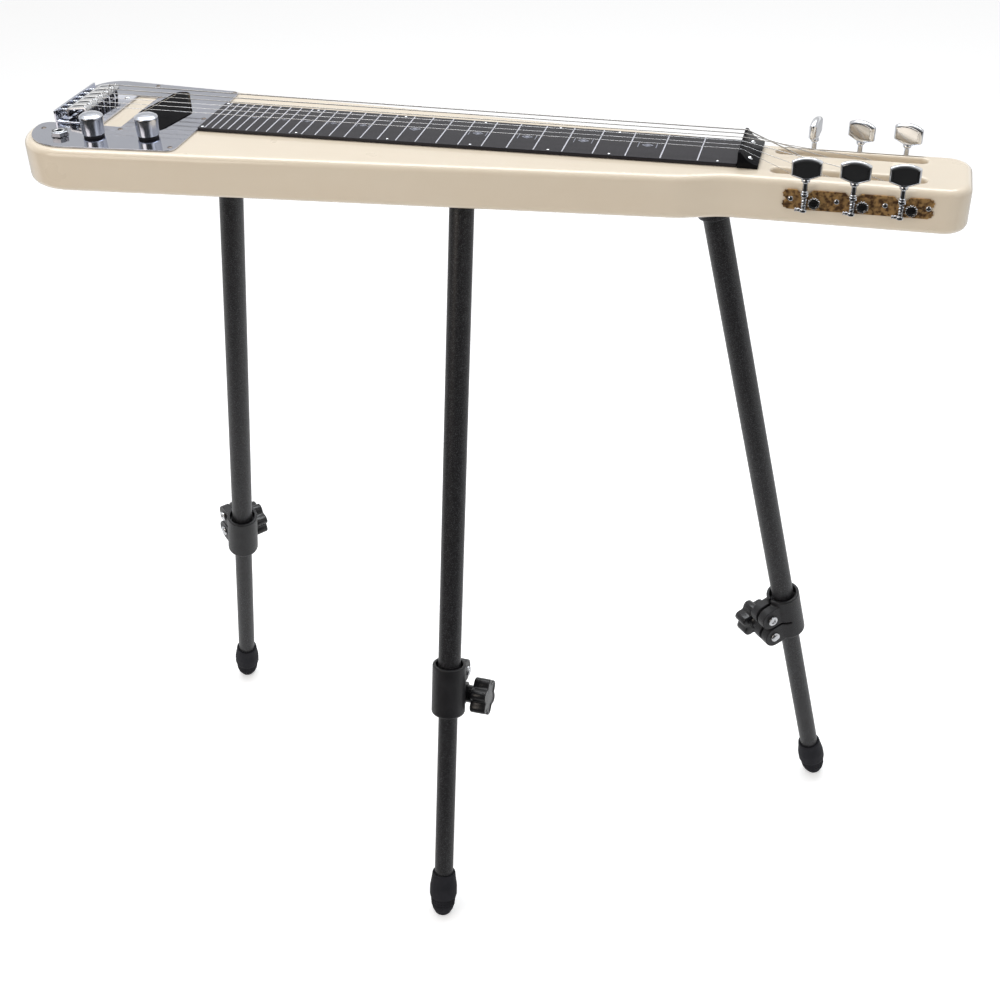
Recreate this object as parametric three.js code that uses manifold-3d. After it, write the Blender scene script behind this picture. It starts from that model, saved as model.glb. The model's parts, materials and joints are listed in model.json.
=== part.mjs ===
// A six-string lap steel guitar on three telescopic legs, in millimetres, +Z up.
// The instrument is laid out from the nut: X runs from the bridge (minus) to the headstock (plus),
// Y is zero on the centre line of the strings, and Z is zero on the top face of the wooden body.
// At the end the whole instrument is lifted so that its feet stand on Z = 0, centred on the origin.
import * as THREE from 'three';
import { mergeVertices } from 'three/addons/utils/BufferGeometryUtils.js';
import Module from 'manifold-3d';

const wasm = await Module();
wasm.setup();

// Clearances
const seatGap = 0.3;
const runGap = 0.3;
const cutOver = 2;
const weldReach = 1e-4;

// Facets round a tube or collar, a knob or shaft, and a screw or hole
const tubeSides = 16;
const shaftSides = 12;
const screwSides = 8;
const pinSides = 6;
const wireSides = 5;
const arcSteps = 4;

// Strings
const stringCount = 6;
const scaleLength = 571.5;
const nutStringPitch = 8.4;
const saddlePitch = 10.5;
const stringRadii = [0.2, 0.22, 0.26, 0.34, 0.42, 0.52];
const ballRadius = 2;
const stringTurns = 2;
const turnSteps = 12;
const coilGap = 0.45;
const bendReach = 0.9;
const bendReachShare = 0.4;
const lipShare = 0.7;
const windingSetbacks = [6, 7, 3];

// Wooden body
const bodyThickness = 37;
const bodyEdgeRadius = 6;
const bodyCentreY = -6.7;
const buttMargin = 44.5;
const buttHalfWidth = 95.2;
const buttFarNarrowing = 5.2;
const buttCornerRadii = { near: 49, far: 33 };
const notchHalfWidth = 34;
const notchDepth = 13;
const notchLipRadius = 9;
const notchRootRadius = 3;
const waistBackX = -42;
const waistFrontX = -8;
const neckHalfWidth = 47.5;
const waistRadius = 60;
const headHalfWidth = 37.5;
const headEndMargin = 35;
const headCornerRadius = 20;

// Headstock slots
const slotBackMargin = 10.4;
const slotFrontMargin = 9.5;
const slotWidth = 11;
const slotRoundShare = 0.48;
const slotCentreY = -4;
const slotSpread = 41;

// Fretboard and nut
const boardThickness = 3;
const boardEdgeMargin = 5.3;
const boardEndHalfWidth = 31.9;
const boardEdgeBevel = 0.4;
const nutOverhang = 1.2;
const nutLength = 16.6;
const nutHeight = 13.2;
const nutRidgeLength = 2.2;
const nutToeHeight = 3.2;

// Control plate
const plateThickness = 1.2;
const plateInset = 7;
const plateReach = 106.5;
const plateFrontCorner = 8;
const plateLipRadius = 9;
const windowCornerRadius = 1;
const windowReach = 37.5;

// Bridge
const bridgeSheet = 2;
const bridgeWallHeight = 11.2;
const bridgeFrontReach = 17.5;
const bridgeEndMargin = 6;
const bridgeOpeningGap = 1;
const saddleHeight = 14;
const saddleGap = 0.5;
const saddleSheet = 1.8;
const saddleTail = 17;
const saddleTailRoom = 9.5;
const saddleLip = 3;
const saddleLipDrop = 4.5;
const saddleTailDrop = 2;
const saddleTabFoot = 4.2;
const saddleSlotWidth = 1.8;
const saddleSlotFront = 2.2;
const stringSlotGap = 1.7;
const anchorTabGap = 5.5;
const anchorHoleRadius = 1.5;
const anchorPocketGap = 2.5;
const intonationScrewRadius = 1.25;
const intonationGrip = 3.7;
const intonationHeadRadius = 2.4;
const intonationHeadLength = 2.2;
const intonationHeight = 8;
const heightScrewRadius = 1.2;
const heightScrewSpread = 6.4;
const heightScrewProud = 0.7;

// Pickup: a lozenge turned a little out of square, with blunt side corners and rounder long ends
const pickupReach = 61.3;
const pickupCentreY = 0.9;
const pickupHalfLength = 72;
const pickupHalfWidth = 25.2;
const pickupSlantDegrees = 7.8;
const pickupRoundings = { end: 8, side: 12, nearEnd: 13 };
const pickupGap = 1.5;
const pickupDrop = 0.4;
const pickupHeight = 18;

// Controls: places are measured from the middle of the line of saddles
const knobOffsets = { tone: [24, -62], volume: [72.4, -56] };
const jackOffset = [-5.6, -67.3];
const knobRadius = 10.3;
const knobFootRadius = 9.3;
const knobHeight = 18.4;
const knobDome = 2.6;
const knobLift = 2.2;
const shaftRadius = 3;
const bushRadius = 3.6;
const bushHeight = 5;
const potNutAcross = 10;
const potNutHeight = 1.6;
const potRadius = 8;
const potDepth = 9;
const potFloor = 2;
const cavityMargin = 4.5;
const cavityFloorGap = 5;
const jackBoreRadius = 3.25;
const jackSleeveRadius = 4.8;
const jackSleeveProud = 0.3;
const jackCanRadius = 7.5;
const jackCanDepth = 24;
const jackNutAcross = 13.5;
const jackNutHeight = 4.3;

// Tuners
const tunersPerSide = 3;
const firstPostX = 64;
const tunerPitch = 37.1;
const tunerAxisZ = -14.8;
const tunerPlateThickness = 1.2;
const tunerPlateLip = 0.55;
const tunerPlateMargin = 13.2;
const lobeRadius = 4.2;
const lobeSweepShare = 0.8;
const plateDipHalfWidth = 3.4;
const plateDipDepth = 3;
const gearRadius = 5;
const gearToothDepth = 0.9;
const gearTeeth = 14;
const gearLength = 4.5;
const wormStandoff = 4.7;
const wormRadius = 2.5;
const wormLength = 9.6;
const wormPitch = 2.1;
const wormThreadDepth = 0.6;
const axleRadius = 1.7;
const axleTail = 3.6;
const bearingHeight = 2.6;
const bearingWidth = 6.4;
const stemRadius = 2.1;
const stemLength = 11;
const postRadius = 3.2;
const neckRadius = 2.4;
const stringHoleRadius = 0.9;
const postSeatDepth = 6;
const buttonHeight = 18;
const buttonWidth = 24;
const buttonThickness = 6;
const buttonShoulder = 4.4;
const buttonCrown = 3.2;
const buttonBevel = 1.2;
const buttonTurnDegrees = { near: [6, -4, 3], far: [80, -30, -24] };

// Legs: distances along a leg are measured from the underside of the body
const legSpacing = 215.3;
const middleLegX = -235;
const legTiltDegrees = 14;
const legTurnDegrees = { butt: 136, middle: -90, head: 38.5 };
const collarTurnDegrees = { butt: -86, middle: 87, head: 93.5 };
const legReach = 734;
const socketRadius = 24;
const socketFlange = 3;
const socketWall = 3.7;
const socketBossLength = 13;
const upperTubeRadius = 11;
const tubeWall = 1.2;
const upperTubeEnd = 490;
const lowerTubeHidden = 198;
const collarWall = 5.3;
const collarMouthGap = 2.4;
const collarMouthDepth = 9;
const collarMouthLength = 6;
const earStandoff = 6.9;
const earRadius = 11.4;
const earHalfSpan = 10.5;
const earGap = 3;
const earSlit = 2.2;
const earSlitSetback = 4.4;
const boltRadius = 3;
const boltHeadRadius = 5.2;
const boltHeadLength = 2.4;
const hubLength = 8.7;
const hubRadius = 8.8;
const starRadius = 19.2;
const starValley = 4.6;
const starLobes = 6;
const lobeFacets = 5;
const starLength = 16;
const starBevel = 1.6;
const footLength = 50.8;
const footWall = 2.2;
const footWaistRadius = 14.1;
const footWaistAt = 26;
const footBandLength = 3;
const footRibs = 3;
const footRibDepth = 0.7;
const footDomeRadius = 11.5;
const footSkirtRadius = 12.9;
const ribValleyShare = 0.6;
const footSocketDepth = 36;
const footFlat = 1.2;

// Worked out from the sizes above
const buttEndX = -scaleLength - buttMargin;
const headNearY = bodyCentreY - headHalfWidth;
const headFarY = bodyCentreY + headHalfWidth;
const postX = (index) => firstPostX + tunerPitch * index;
const lastTuner = tunersPerSide - 1;
const slotBackX = nutLength + slotBackMargin;
const slotFrontX = postX(lastTuner) + slotFrontMargin;
const headEndX = slotFrontX + headEndMargin;
const plateTopZ = seatGap + plateThickness;
const plateFrontX = plateReach - scaleLength;
const boardTopZ = seatGap + boardThickness;
const boardNutHalfWidth = ((stringCount - 1) * nutStringPitch) / 2 + boardEdgeMargin;
const nutTopZ = seatGap + nutHeight;
const saddleWidth = saddlePitch - saddleGap;
const bridgeBackX = -scaleLength - saddleTail - saddleTailRoom;
const bridgeHalfWidth = (stringCount * saddlePitch) / 2 + bridgeEndMargin;
const bridgeTopZ = seatGap + bridgeSheet;
const bridgeWallTopZ = seatGap + bridgeWallHeight;
const anchorX = -scaleLength - saddleTail + anchorTabGap;
const pickupTopZ = plateTopZ - pickupDrop;
const cavityHalfWidth = potRadius + cavityMargin;
const wormDistance = gearRadius + wormRadius + runGap;
const wormTopZ = tunerAxisZ + wormLength / 2;
const wormBottomZ = tunerAxisZ - wormLength / 2;
const stemFootZ = wormTopZ + 2 * runGap + bearingHeight;
const buttonFootZ = stemFootZ + stemLength;
const tunerPlateHalfHeight = wormLength / 2 + runGap + bearingHeight + tunerPlateLip;
const legTiltRad = THREE.MathUtils.degToRad(legTiltDegrees);
const legLength = legReach / Math.cos(legTiltRad);
const socketBossRadius = upperTubeRadius + runGap + socketWall;
const lowerTubeRadius = upperTubeRadius - tubeWall - runGap;
const slitAt = upperTubeEnd + earSlitSetback + earSlit / 2;
const bandBoltAt = slitAt - earSlit / 2 - earRadius;
const clampBoltAt = slitAt + earSlit / 2 + earRadius;
const collarRadius = upperTubeRadius + runGap + collarWall;
const collarTop = bandBoltAt - earRadius - collarMouthLength;
const collarEnd = clampBoltAt + earRadius;
const earReach = collarRadius + earStandoff;
const lowerTubeTop = collarTop - lowerTubeHidden;
const starStart = earHalfSpan + seatGap + hubLength;
const footTop = legLength - footLength;

// Closed geometries become solids that can be joined and cut, and solids become geometries again.
// A shape whose outline runs the other way round has its faces turned to point outwards.
function solid(geometry) {
  const bare = new THREE.BufferGeometry();
  bare.setAttribute('position', geometry.getAttribute('position'));
  bare.setIndex(geometry.getIndex());
  const merged = mergeVertices(bare, weldReach);
  const vertProperties = merged.getAttribute('position').array;
  const corners = merged.getIndex().array;
  const outward = [];
  const inward = [];
  for (let i = 0; i < corners.length; i += 3) {
    const [a, b, c] = corners.slice(i, i + 3);
    if (a !== b && b !== c && c !== a) {
      outward.push(a, b, c);
      inward.push(a, c, b);
    }
  }
  const shape = (list) => {
    const triVerts = Uint32Array.from(list);
    return new wasm.Manifold(new wasm.Mesh({ numProp: 3, vertProperties, triVerts }));
  };
  const made = shape(outward);
  return made.volume() < 0 ? shape(inward) : made;
}

function geometryOf(body) {
  const { vertProperties, triVerts } = body.getMesh();
  const geometry = new THREE.BufferGeometry();
  geometry.setAttribute('position', new THREE.BufferAttribute(vertProperties, 3));
  geometry.setIndex(new THREE.BufferAttribute(triVerts, 1));
  return geometry;
}

const join = (first, ...rest) => rest.reduce((whole, piece) => whole.add(piece), first);
const cut = (whole, ...tools) => tools.reduce((left, tool) => left.subtract(tool), whole);

function piece(parent, name, body, look) {
  const material = new THREE.MeshStandardMaterial({ flatShading: true, ...look });
  const mesh = new THREE.Mesh(geometryOf(body), material);
  mesh.name = name;
  parent.add(mesh);
  return mesh;
}

// Finishes
const creamPaint = { color: 0xefe3cd, roughness: 0.25, metalness: 0 };
const mirrorChrome = { color: 0xd4d6da, roughness: 0.06, metalness: 1 };
const brassPlate = { color: 0xb08a4c, roughness: 0.25, metalness: 1 };
const boardBlack = { color: 0x26242a, roughness: 0.45, metalness: 0 };
const mouldedBlack = { color: 0x17171a, roughness: 0.5, metalness: 0 };
const powderBlack = { color: 0x141416, roughness: 0.55, metalness: 0.2 };
const rubberBlack = { color: 0x1a1a1c, roughness: 0.85, metalness: 0 };
const steelWire = { color: 0xc9c6c2, roughness: 0.3, metalness: 1 };
const zincSteel = { color: 0xb9bcc0, roughness: 0.3, metalness: 1 };

// Simple closed solids
function box(lowX, highX, lowY, highY, lowZ, highZ) {
  const shape = new THREE.BoxGeometry(highX - lowX, highY - lowY, highZ - lowZ);
  return solid(shape.translate((lowX + highX) / 2, (lowY + highY) / 2, (lowZ + highZ) / 2));
}

// A round bar of the given radius from one point to another.
function bar(from, to, radius, sides = shaftSides) {
  const start = new THREE.Vector3(...from);
  const along = new THREE.Vector3(...to).sub(start);
  const shape = new THREE.CylinderGeometry(radius, radius, along.length(), sides);
  const upright = new THREE.Vector3(0, 1, 0);
  const turn = new THREE.Quaternion().setFromUnitVectors(upright, along.clone().normalize());
  return solid(shape.applyQuaternion(turn).translate(...start.addScaledVector(along, 1 / 2)));
}

// A cutter for a hole: its flats, not its corners, stand at the given radius.
function bore(from, to, radius, sides = screwSides) {
  return bar(from, to, radius / Math.cos(Math.PI / sides), sides);
}

// A turned solid about Z from [radius, height] pairs that start and end on the axis.
function turned(profile, sides = tubeSides) {
  const points = profile.map(([radius, height]) => new THREE.Vector2(radius, height));
  return solid(new THREE.LatheGeometry(points, sides).rotateX(Math.PI / 2));
}

// An outline drawn out to a depth, with its two rims rounded inwards.
function extruded(outline, depth, bevel = 0, bevelSegments = 1) {
  return new THREE.ExtrudeGeometry(new THREE.Shape(outline), {
    depth: depth - 2 * bevel,
    bevelEnabled: bevel > 0,
    bevelThickness: bevel,
    bevelSize: bevel,
    bevelOffset: -bevel,
    bevelSegments,
  }).translate(0, 0, bevel);
}

// An outline lying in XY, raised from one height to another.
function slab(outline, lowZ, highZ, bevel = 0, bevelSegments = 1) {
  return solid(extruded(outline, highZ - lowZ, bevel, bevelSegments).translate(0, 0, lowZ));
}

// An outline given in X and Z, drawn from one Y to another.
function upright(outline, lowY, highY, bevel = 0) {
  return solid(extruded(outline, highY - lowY, bevel).rotateX(Math.PI / 2).translate(0, highY, 0));
}

// Rounds each corner of a polygon with an arc of its own radius, and draws it in by an inset.
function rounded(corners, radii, inset = 0, steps = arcSteps) {
  const count = corners.length;
  const points = [];
  corners.forEach(([x, y], i) => {
    const corner = new THREE.Vector2(x, y);
    const before = new THREE.Vector2(...corners[(i + count - 1) % count]).sub(corner).normalize();
    const after = new THREE.Vector2(...corners[(i + 1) % count]).sub(corner).normalize();
    const half = Math.acos(THREE.MathUtils.clamp(before.dot(after), -1, 1)) / 2;
    const radius = radii[i];
    const inward = before.clone().add(after).normalize();
    const centre = corner.clone().addScaledVector(inward, radius / Math.sin(half));
    const start = corner.clone().addScaledVector(before, radius / Math.tan(half)).sub(centre);
    const end = corner.clone().addScaledVector(after, radius / Math.tan(half)).sub(centre);
    const sweep = Math.atan2(start.cross(end), start.dot(end));
    for (let k = 0; k <= steps; k += 1) {
      const turn = (sweep * k) / steps;
      const arm = start.clone().multiplyScalar((radius - inset) / radius);
      points.push(arm.rotateAround(new THREE.Vector2(), turn).add(centre));
    }
  });
  return points;
}

// A route whose tube has one ring at each of its own points, so that tight bends keep their rings.
class Route extends THREE.Curve {
  constructor(points) {
    super();
    this.points = points.map((point) => new THREE.Vector3(...point));
    const last = this.points.length - 1;
    this.tangents = this.points.map((point, i) => {
      const back = point.clone().sub(this.points[Math.max(i - 1, 0)]).normalize();
      const ahead = this.points[Math.min(i + 1, last)].clone().sub(point).normalize();
      return back.add(ahead).normalize();
    });
  }

  at(list, u) {
    return list[Math.round(u * (list.length - 1))].clone();
  }

  getPoint(u) {
    return this.at(this.points, u);
  }

  getPointAt(u) {
    return this.at(this.points, u);
  }

  getTangentAt(u) {
    return this.at(this.tangents, u);
  }
}

function wire(points, radius) {
  const ring = [];
  for (let k = 0; k < wireSides; k += 1) {
    const turn = (2 * Math.PI * k) / wireSides;
    ring.push(new THREE.Vector2(radius * Math.cos(turn), radius * Math.sin(turn)));
  }
  const extrudePath = new Route(points);
  return solid(new THREE.ExtrudeGeometry(new THREE.Shape(ring), { steps: points.length - 1, extrudePath }));
}

function hexagon(across, centreX, centreY) {
  const flats = 6;
  const corner = across / 2 / Math.cos(Math.PI / flats);
  const points = [];
  for (let k = 0; k < flats; k += 1) {
    const turn = (2 * Math.PI * k) / flats;
    points.push(new THREE.Vector2(centreX + corner * Math.cos(turn), centreY + corner * Math.sin(turn)));
  }
  return points;
}

const guitar = new THREE.Group();
const instrument = new THREE.Group();
guitar.add(instrument);

// Places that several pieces share
const stringY = (index, pitch) => (index - (stringCount - 1) / 2) * pitch;
const slotInnerY = (side) => slotCentreY + (side * (slotSpread - slotWidth)) / 2;
const headSideY = (side) => (side < 0 ? headNearY : headFarY);
const postEndY = (side) => slotInnerY(side) - side * postSeatDepth;
const buttSideWidth = (side) => (side < 0 ? buttHalfWidth : buttHalfWidth - buttFarNarrowing);
const buttCorner = (side) => (side < 0 ? buttCornerRadii.near : buttCornerRadii.far);
const sideTaper = (side) => (buttSideWidth(side) - neckHalfWidth) / (waistBackX - buttEndX);
const bodySideY = (side, x) => bodyCentreY + side * (neckHalfWidth + sideTaper(side) * (waistBackX - x));
const fromSaddles = ([x, y]) => [x - scaleLength, y];
const knobPlace = (name) => fromSaddles(knobOffsets[name]);
const jackPlace = fromSaddles(jackOffset);

// An outline down the near side and back up the far one, from corners of [x, y, rounding radius].
function twoSided(sideCorners) {
  const corners = [...sideCorners(-1), ...sideCorners(1).reverse()];
  return rounded(corners, corners.map(([, , radius]) => radius));
}

// Wooden body, neck and headstock in one plank, notched at the butt behind the bridge
function plankOutline() {
  return twoSided((side) => [
    [headEndX, bodyCentreY + side * headHalfWidth, headCornerRadius],
    [waistFrontX, bodyCentreY + side * headHalfWidth, waistRadius],
    [waistBackX, bodySideY(side, waistBackX), waistRadius],
    [buttEndX, bodySideY(side, buttEndX), buttCorner(side)],
    [buttEndX, side * notchHalfWidth, notchLipRadius],
    [buttEndX + notchDepth, side * notchHalfWidth, notchRootRadius],
  ]);
}

function slotCutter(side) {
  const centre = slotCentreY + (side * slotSpread) / 2;
  const low = centre - slotWidth / 2;
  const high = centre + slotWidth / 2;
  const corners = [[slotBackX, low], [slotFrontX, low], [slotFrontX, high], [slotBackX, high]];
  const radius = slotWidth * slotRoundShare;
  return slab(rounded(corners, corners.map(() => radius)), -bodyThickness - cutOver, cutOver);
}

function pickupOutline(inset) {
  const centre = new THREE.Vector2(pickupReach - scaleLength, pickupCentreY);
  const slant = THREE.MathUtils.degToRad(pickupSlantDegrees);
  const long = new THREE.Vector2(0, pickupHalfLength).rotateAround(new THREE.Vector2(), slant);
  const short = new THREE.Vector2(pickupHalfWidth, 0).rotateAround(new THREE.Vector2(), slant);
  const corners = [
    centre.clone().add(long),
    centre.clone().sub(short),
    centre.clone().sub(long),
    centre.clone().add(short),
  ].map((corner) => corner.toArray());
  const { end, side, nearEnd } = pickupRoundings;
  return rounded(corners, [end, side, nearEnd, side], inset);
}

function controlCavity() {
  const start = new THREE.Vector2(...jackPlace);
  const end = new THREE.Vector2(...knobPlace('volume'));
  const along = end.clone().sub(start).normalize();
  const across = new THREE.Vector2(-along.y, along.x).multiplyScalar(cavityHalfWidth);
  start.addScaledVector(along, -cavityHalfWidth);
  end.addScaledVector(along, cavityHalfWidth);
  const corners = [
    start.clone().sub(across),
    end.clone().sub(across),
    end.clone().add(across),
    start.clone().add(across),
  ].map((corner) => corner.toArray());
  const radii = corners.map(() => cavityHalfWidth / 2);
  return slab(rounded(corners, radii), -jackCanDepth - cavityFloorGap, cutOver);
}

function anchorPocket() {
  const halfWidth = ballRadius + anchorPocketGap;
  const halfLength = stringY(stringCount - 1, saddlePitch) + halfWidth;
  const floor = -2 * ballRadius - anchorPocketGap;
  return box(anchorX - halfWidth, anchorX + halfWidth, -halfLength, halfLength, floor, cutOver);
}

let plank = slab(plankOutline(), -bodyThickness, 0, bodyEdgeRadius, arcSteps - 1);
plank = cut(plank, slotCutter(-1), slotCutter(1), controlCavity(), anchorPocket());
plank = cut(plank, slab(pickupOutline(0), pickupTopZ - pickupHeight - seatGap, cutOver));
for (const side of [-1, 1]) {
  for (let k = 0; k < tunersPerSide; k += 1) {
    const start = [postX(k), headSideY(side) + side * cutOver, tunerAxisZ];
    const end = [postX(k), postEndY(side) - side * seatGap, tunerAxisZ];
    plank = cut(plank, bore(start, end, postRadius + runGap));
  }
}
piece(instrument, 'body', plank, creamPaint);

// Fretboard, screwed down on the plank between the nut and the control plate
const boardEndX = plateFrontX + seatGap;
const boardOutline = [
  [-seatGap, -boardNutHalfWidth],
  [-seatGap, boardNutHalfWidth],
  [boardEndX, boardEndHalfWidth],
  [boardEndX, -boardEndHalfWidth],
].map(([x, y]) => new THREE.Vector2(x, y)).reverse();
piece(instrument, 'fretboard', slab(boardOutline, seatGap, boardTopZ, boardEdgeBevel), boardBlack);

// Nut: a tall ridge at the scale end, hollowed down to a toe behind it
function nutOutline() {
  const points = [[0, 0], [nutLength, 0], [nutLength, nutToeHeight]];
  const run = nutLength - nutRidgeLength;
  const steps = 2 * arcSteps;
  for (let k = 1; k <= steps; k += 1) {
    const share = k / steps;
    points.push([nutLength - run * share, nutToeHeight + (nutHeight - nutToeHeight) * share * share]);
  }
  points.push([0, nutHeight]);
  return points.map(([x, z]) => new THREE.Vector2(x, z + seatGap));
}
const nutHalfWidth = boardNutHalfWidth + nutOverhang;
piece(instrument, 'nut', upright(nutOutline(), -nutHalfWidth, nutHalfWidth), mouldedBlack);

// Control plate: one sheet over the butt, cut in from the back round the bridge, open over the pickup
function plateOutline() {
  const backX = buttEndX + plateInset;
  const windowSideY = bridgeHalfWidth + bridgeOpeningGap;
  return twoSided((side) => [
    [plateFrontX, bodySideY(side, plateFrontX) - side * plateInset, plateFrontCorner],
    [backX, bodySideY(side, backX) - side * plateInset, buttCorner(side) - plateInset],
    [backX, side * windowSideY, plateLipRadius],
    [windowReach - scaleLength, side * windowSideY, windowCornerRadius],
  ]);
}

const throughPlate = [seatGap - cutOver, plateTopZ + cutOver];
let plate = slab(plateOutline(), seatGap, plateTopZ);
plate = cut(plate, slab(pickupOutline(0), ...throughPlate));
function plateHole(place, radius) {
  const [low, high] = throughPlate;
  return bore([...place, low], [...place, high], radius + runGap);
}
plate = cut(plate, plateHole(jackPlace, jackSleeveRadius));
for (const name of Object.keys(knobOffsets)) plate = cut(plate, plateHole(knobPlace(name), bushRadius));
piece(instrument, 'control_plate', plate, mirrorChrome);

// Bridge plate with its bent-up wall, and the six screws that the wall holds
const bridgeFrontX = bridgeFrontReach - scaleLength;
let bridge = join(
  box(bridgeBackX, bridgeFrontX, -bridgeHalfWidth, bridgeHalfWidth, seatGap, bridgeTopZ),
  box(bridgeBackX, bridgeBackX + bridgeSheet, -bridgeHalfWidth, bridgeHalfWidth, seatGap, bridgeWallTopZ),
);
const screwLength = saddleTailRoom + saddleSheet + intonationGrip;
for (let k = 0; k < stringCount; k += 1) {
  const y = stringY(k, saddlePitch);
  const along = (x) => [bridgeBackX + x, y, intonationHeight];
  const inWall = bridgeSheet / 2;
  const screw = bar(along(-inWall), along(screwLength), intonationScrewRadius, pinSides);
  const head = bar(along(-intonationHeadLength), along(inWall), intonationHeadRadius, screwSides);
  const hole = bore([anchorX, y, seatGap - cutOver], [anchorX, y, bridgeTopZ + cutOver], anchorHoleRadius);
  bridge = cut(join(bridge, screw, head), hole);
}
piece(instrument, 'bridge_plate', bridge, mirrorChrome);

// Six bent-sheet saddles, each standing on two height screws. The outline runs along the outside of
// the sheet from its tail tab over the peak to the front lip, and back along the inside.
const nearPeakShares = [-1, 0, 2 / 3, 1];
const nearPeakDropShares = [1 / 6, 0, 1 / 2, 3 / 2];

function saddleOutline() {
  const tailTop = saddleHeight - saddleTailDrop;
  const lipFoot = saddleHeight - saddleLipDrop;
  const peak = nearPeakShares.map((share, i) => {
    const x = share < 0 ? share * saddleSlotFront : share * saddleLip;
    return [x, saddleHeight - nearPeakDropShares[i] * saddleSheet];
  });
  const outside = [[-saddleTail, saddleTabFoot], [-saddleTail, tailTop], ...peak, [saddleLip, lipFoot]];
  const inside = [
    [saddleLip - saddleSheet, lipFoot],
    [saddleLip - saddleSheet, saddleHeight - 2 * saddleSheet],
    [0, saddleHeight - saddleSheet],
    [-saddleSlotFront, saddleHeight - (1 + nearPeakDropShares[0]) * saddleSheet],
    [saddleSheet - saddleTail, tailTop - saddleSheet],
    [saddleSheet - saddleTail, saddleTabFoot],
  ];
  return [...outside, ...inside].map(([x, z]) => new THREE.Vector2(x, z));
}

function saddleSolid() {
  const slotBack = 2 * saddleSheet - saddleTail;
  const halfSlot = saddleSlotWidth / 2;
  const slotTop = saddleHeight + cutOver;
  const slot = box(slotBack, -saddleSlotFront, -halfSlot, halfSlot, intonationHeight, slotTop);
  const holeStart = [-saddleTail - cutOver, 0, intonationHeight];
  const holeEnd = [saddleSheet - saddleTail + cutOver, 0, intonationHeight];
  const hole = bore(holeStart, holeEnd, intonationScrewRadius + runGap);
  let saddle = cut(upright(saddleOutline(), -saddleWidth / 2, saddleWidth / 2), slot, hole);
  for (const side of [-1, 1]) {
    const y = (side * heightScrewSpread) / 2;
    const foot = [0, y, bridgeTopZ + seatGap];
    const top = [0, y, saddleHeight + heightScrewProud];
    saddle = join(saddle, bar(foot, top, heightScrewRadius, pinSides));
  }
  return saddle;
}
for (let k = 0; k < stringCount; k += 1) {
  const saddle = piece(instrument, `saddle_${k + 1}`, saddleSolid(), mirrorChrome);
  saddle.position.set(-scaleLength, stringY(k, saddlePitch), 0);
}

// Pickup under a gloss cover, dropped into its pocket through the plate
const pickup = slab(pickupOutline(pickupGap), pickupTopZ - pickupHeight, pickupTopZ);
piece(instrument, 'pickup', pickup, mouldedBlack);

// Knobs with their shafts, and the potentiometers that hold them
function knobSolid() {
  const foot = plateTopZ + knobLift;
  const top = foot + knobHeight;
  const shoulder = top - knobDome;
  const dome = [];
  for (let k = 0; k < arcSteps; k += 1) {
    const turn = (k / arcSteps) * (Math.PI / 2);
    dome.push([knobRadius * Math.cos(turn), shoulder + knobDome * Math.sin(turn)]);
  }
  const bushRoom = plateTopZ + bushHeight + runGap;
  return turned([
    [0, seatGap - potDepth],
    [shaftRadius, seatGap - potDepth],
    [shaftRadius, bushRoom],
    [bushRadius + 2 * runGap, bushRoom],
    [bushRadius + 2 * runGap, foot],
    [knobFootRadius, foot],
    ...dome,
    [0, top],
  ]);
}

function potSolid(x, y) {
  const at = (z) => [x, y, z];
  const bushTop = plateTopZ + bushHeight;
  const pot = join(
    bar(at(-potDepth - potFloor), at(0), potRadius),
    bar(at(-seatGap), at(bushTop), bushRadius),
    slab(hexagon(potNutAcross, x, y), plateTopZ + seatGap, plateTopZ + seatGap + potNutHeight),
  );
  return cut(pot, bore(at(-potDepth), at(bushTop + cutOver), shaftRadius + runGap));
}
for (const name of Object.keys(knobOffsets)) {
  const [x, y] = knobPlace(name);
  piece(instrument, `${name}_knob`, knobSolid(), mirrorChrome).position.set(x, y, 0);
  piece(instrument, `${name}_pot`, potSolid(x, y), zincSteel);
}

// Output jack, held in the plate by a hexagon nut
const nutFloor = plateTopZ + seatGap;
const jackTop = nutFloor + jackNutHeight + jackSleeveProud;
const onJack = (z) => [...jackPlace, z];
const jack = join(
  bar(onJack(-jackCanDepth), onJack(0), jackCanRadius),
  bar(onJack(-seatGap), onJack(jackTop), jackSleeveRadius),
);
const jackMouth = onJack(jackTop + cutOver);
const jackBore = bore(onJack(-jackCanDepth - cutOver), jackMouth, jackBoreRadius, shaftSides);
piece(instrument, 'output_jack', cut(jack, jackBore), zincSteel);
const jackNut = slab(hexagon(jackNutAcross, ...jackPlace), nutFloor, nutFloor + jackNutHeight);
const nutHole = bore(onJack(0), jackMouth, jackSleeveRadius + runGap);
piece(instrument, 'jack_nut', cut(jackNut, nutHole), mirrorChrome);

// Tuners: a brass plate along each side of the headstock carries three worms and three posts.
const sideNames = new Map([[-1, 'near'], [1, 'far']]);
const wormX = (index) => postX(index) - wormDistance;
const wormY = (side) => headSideY(side) + side * (seatGap + tunerPlateThickness + wormStandoff);

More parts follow.
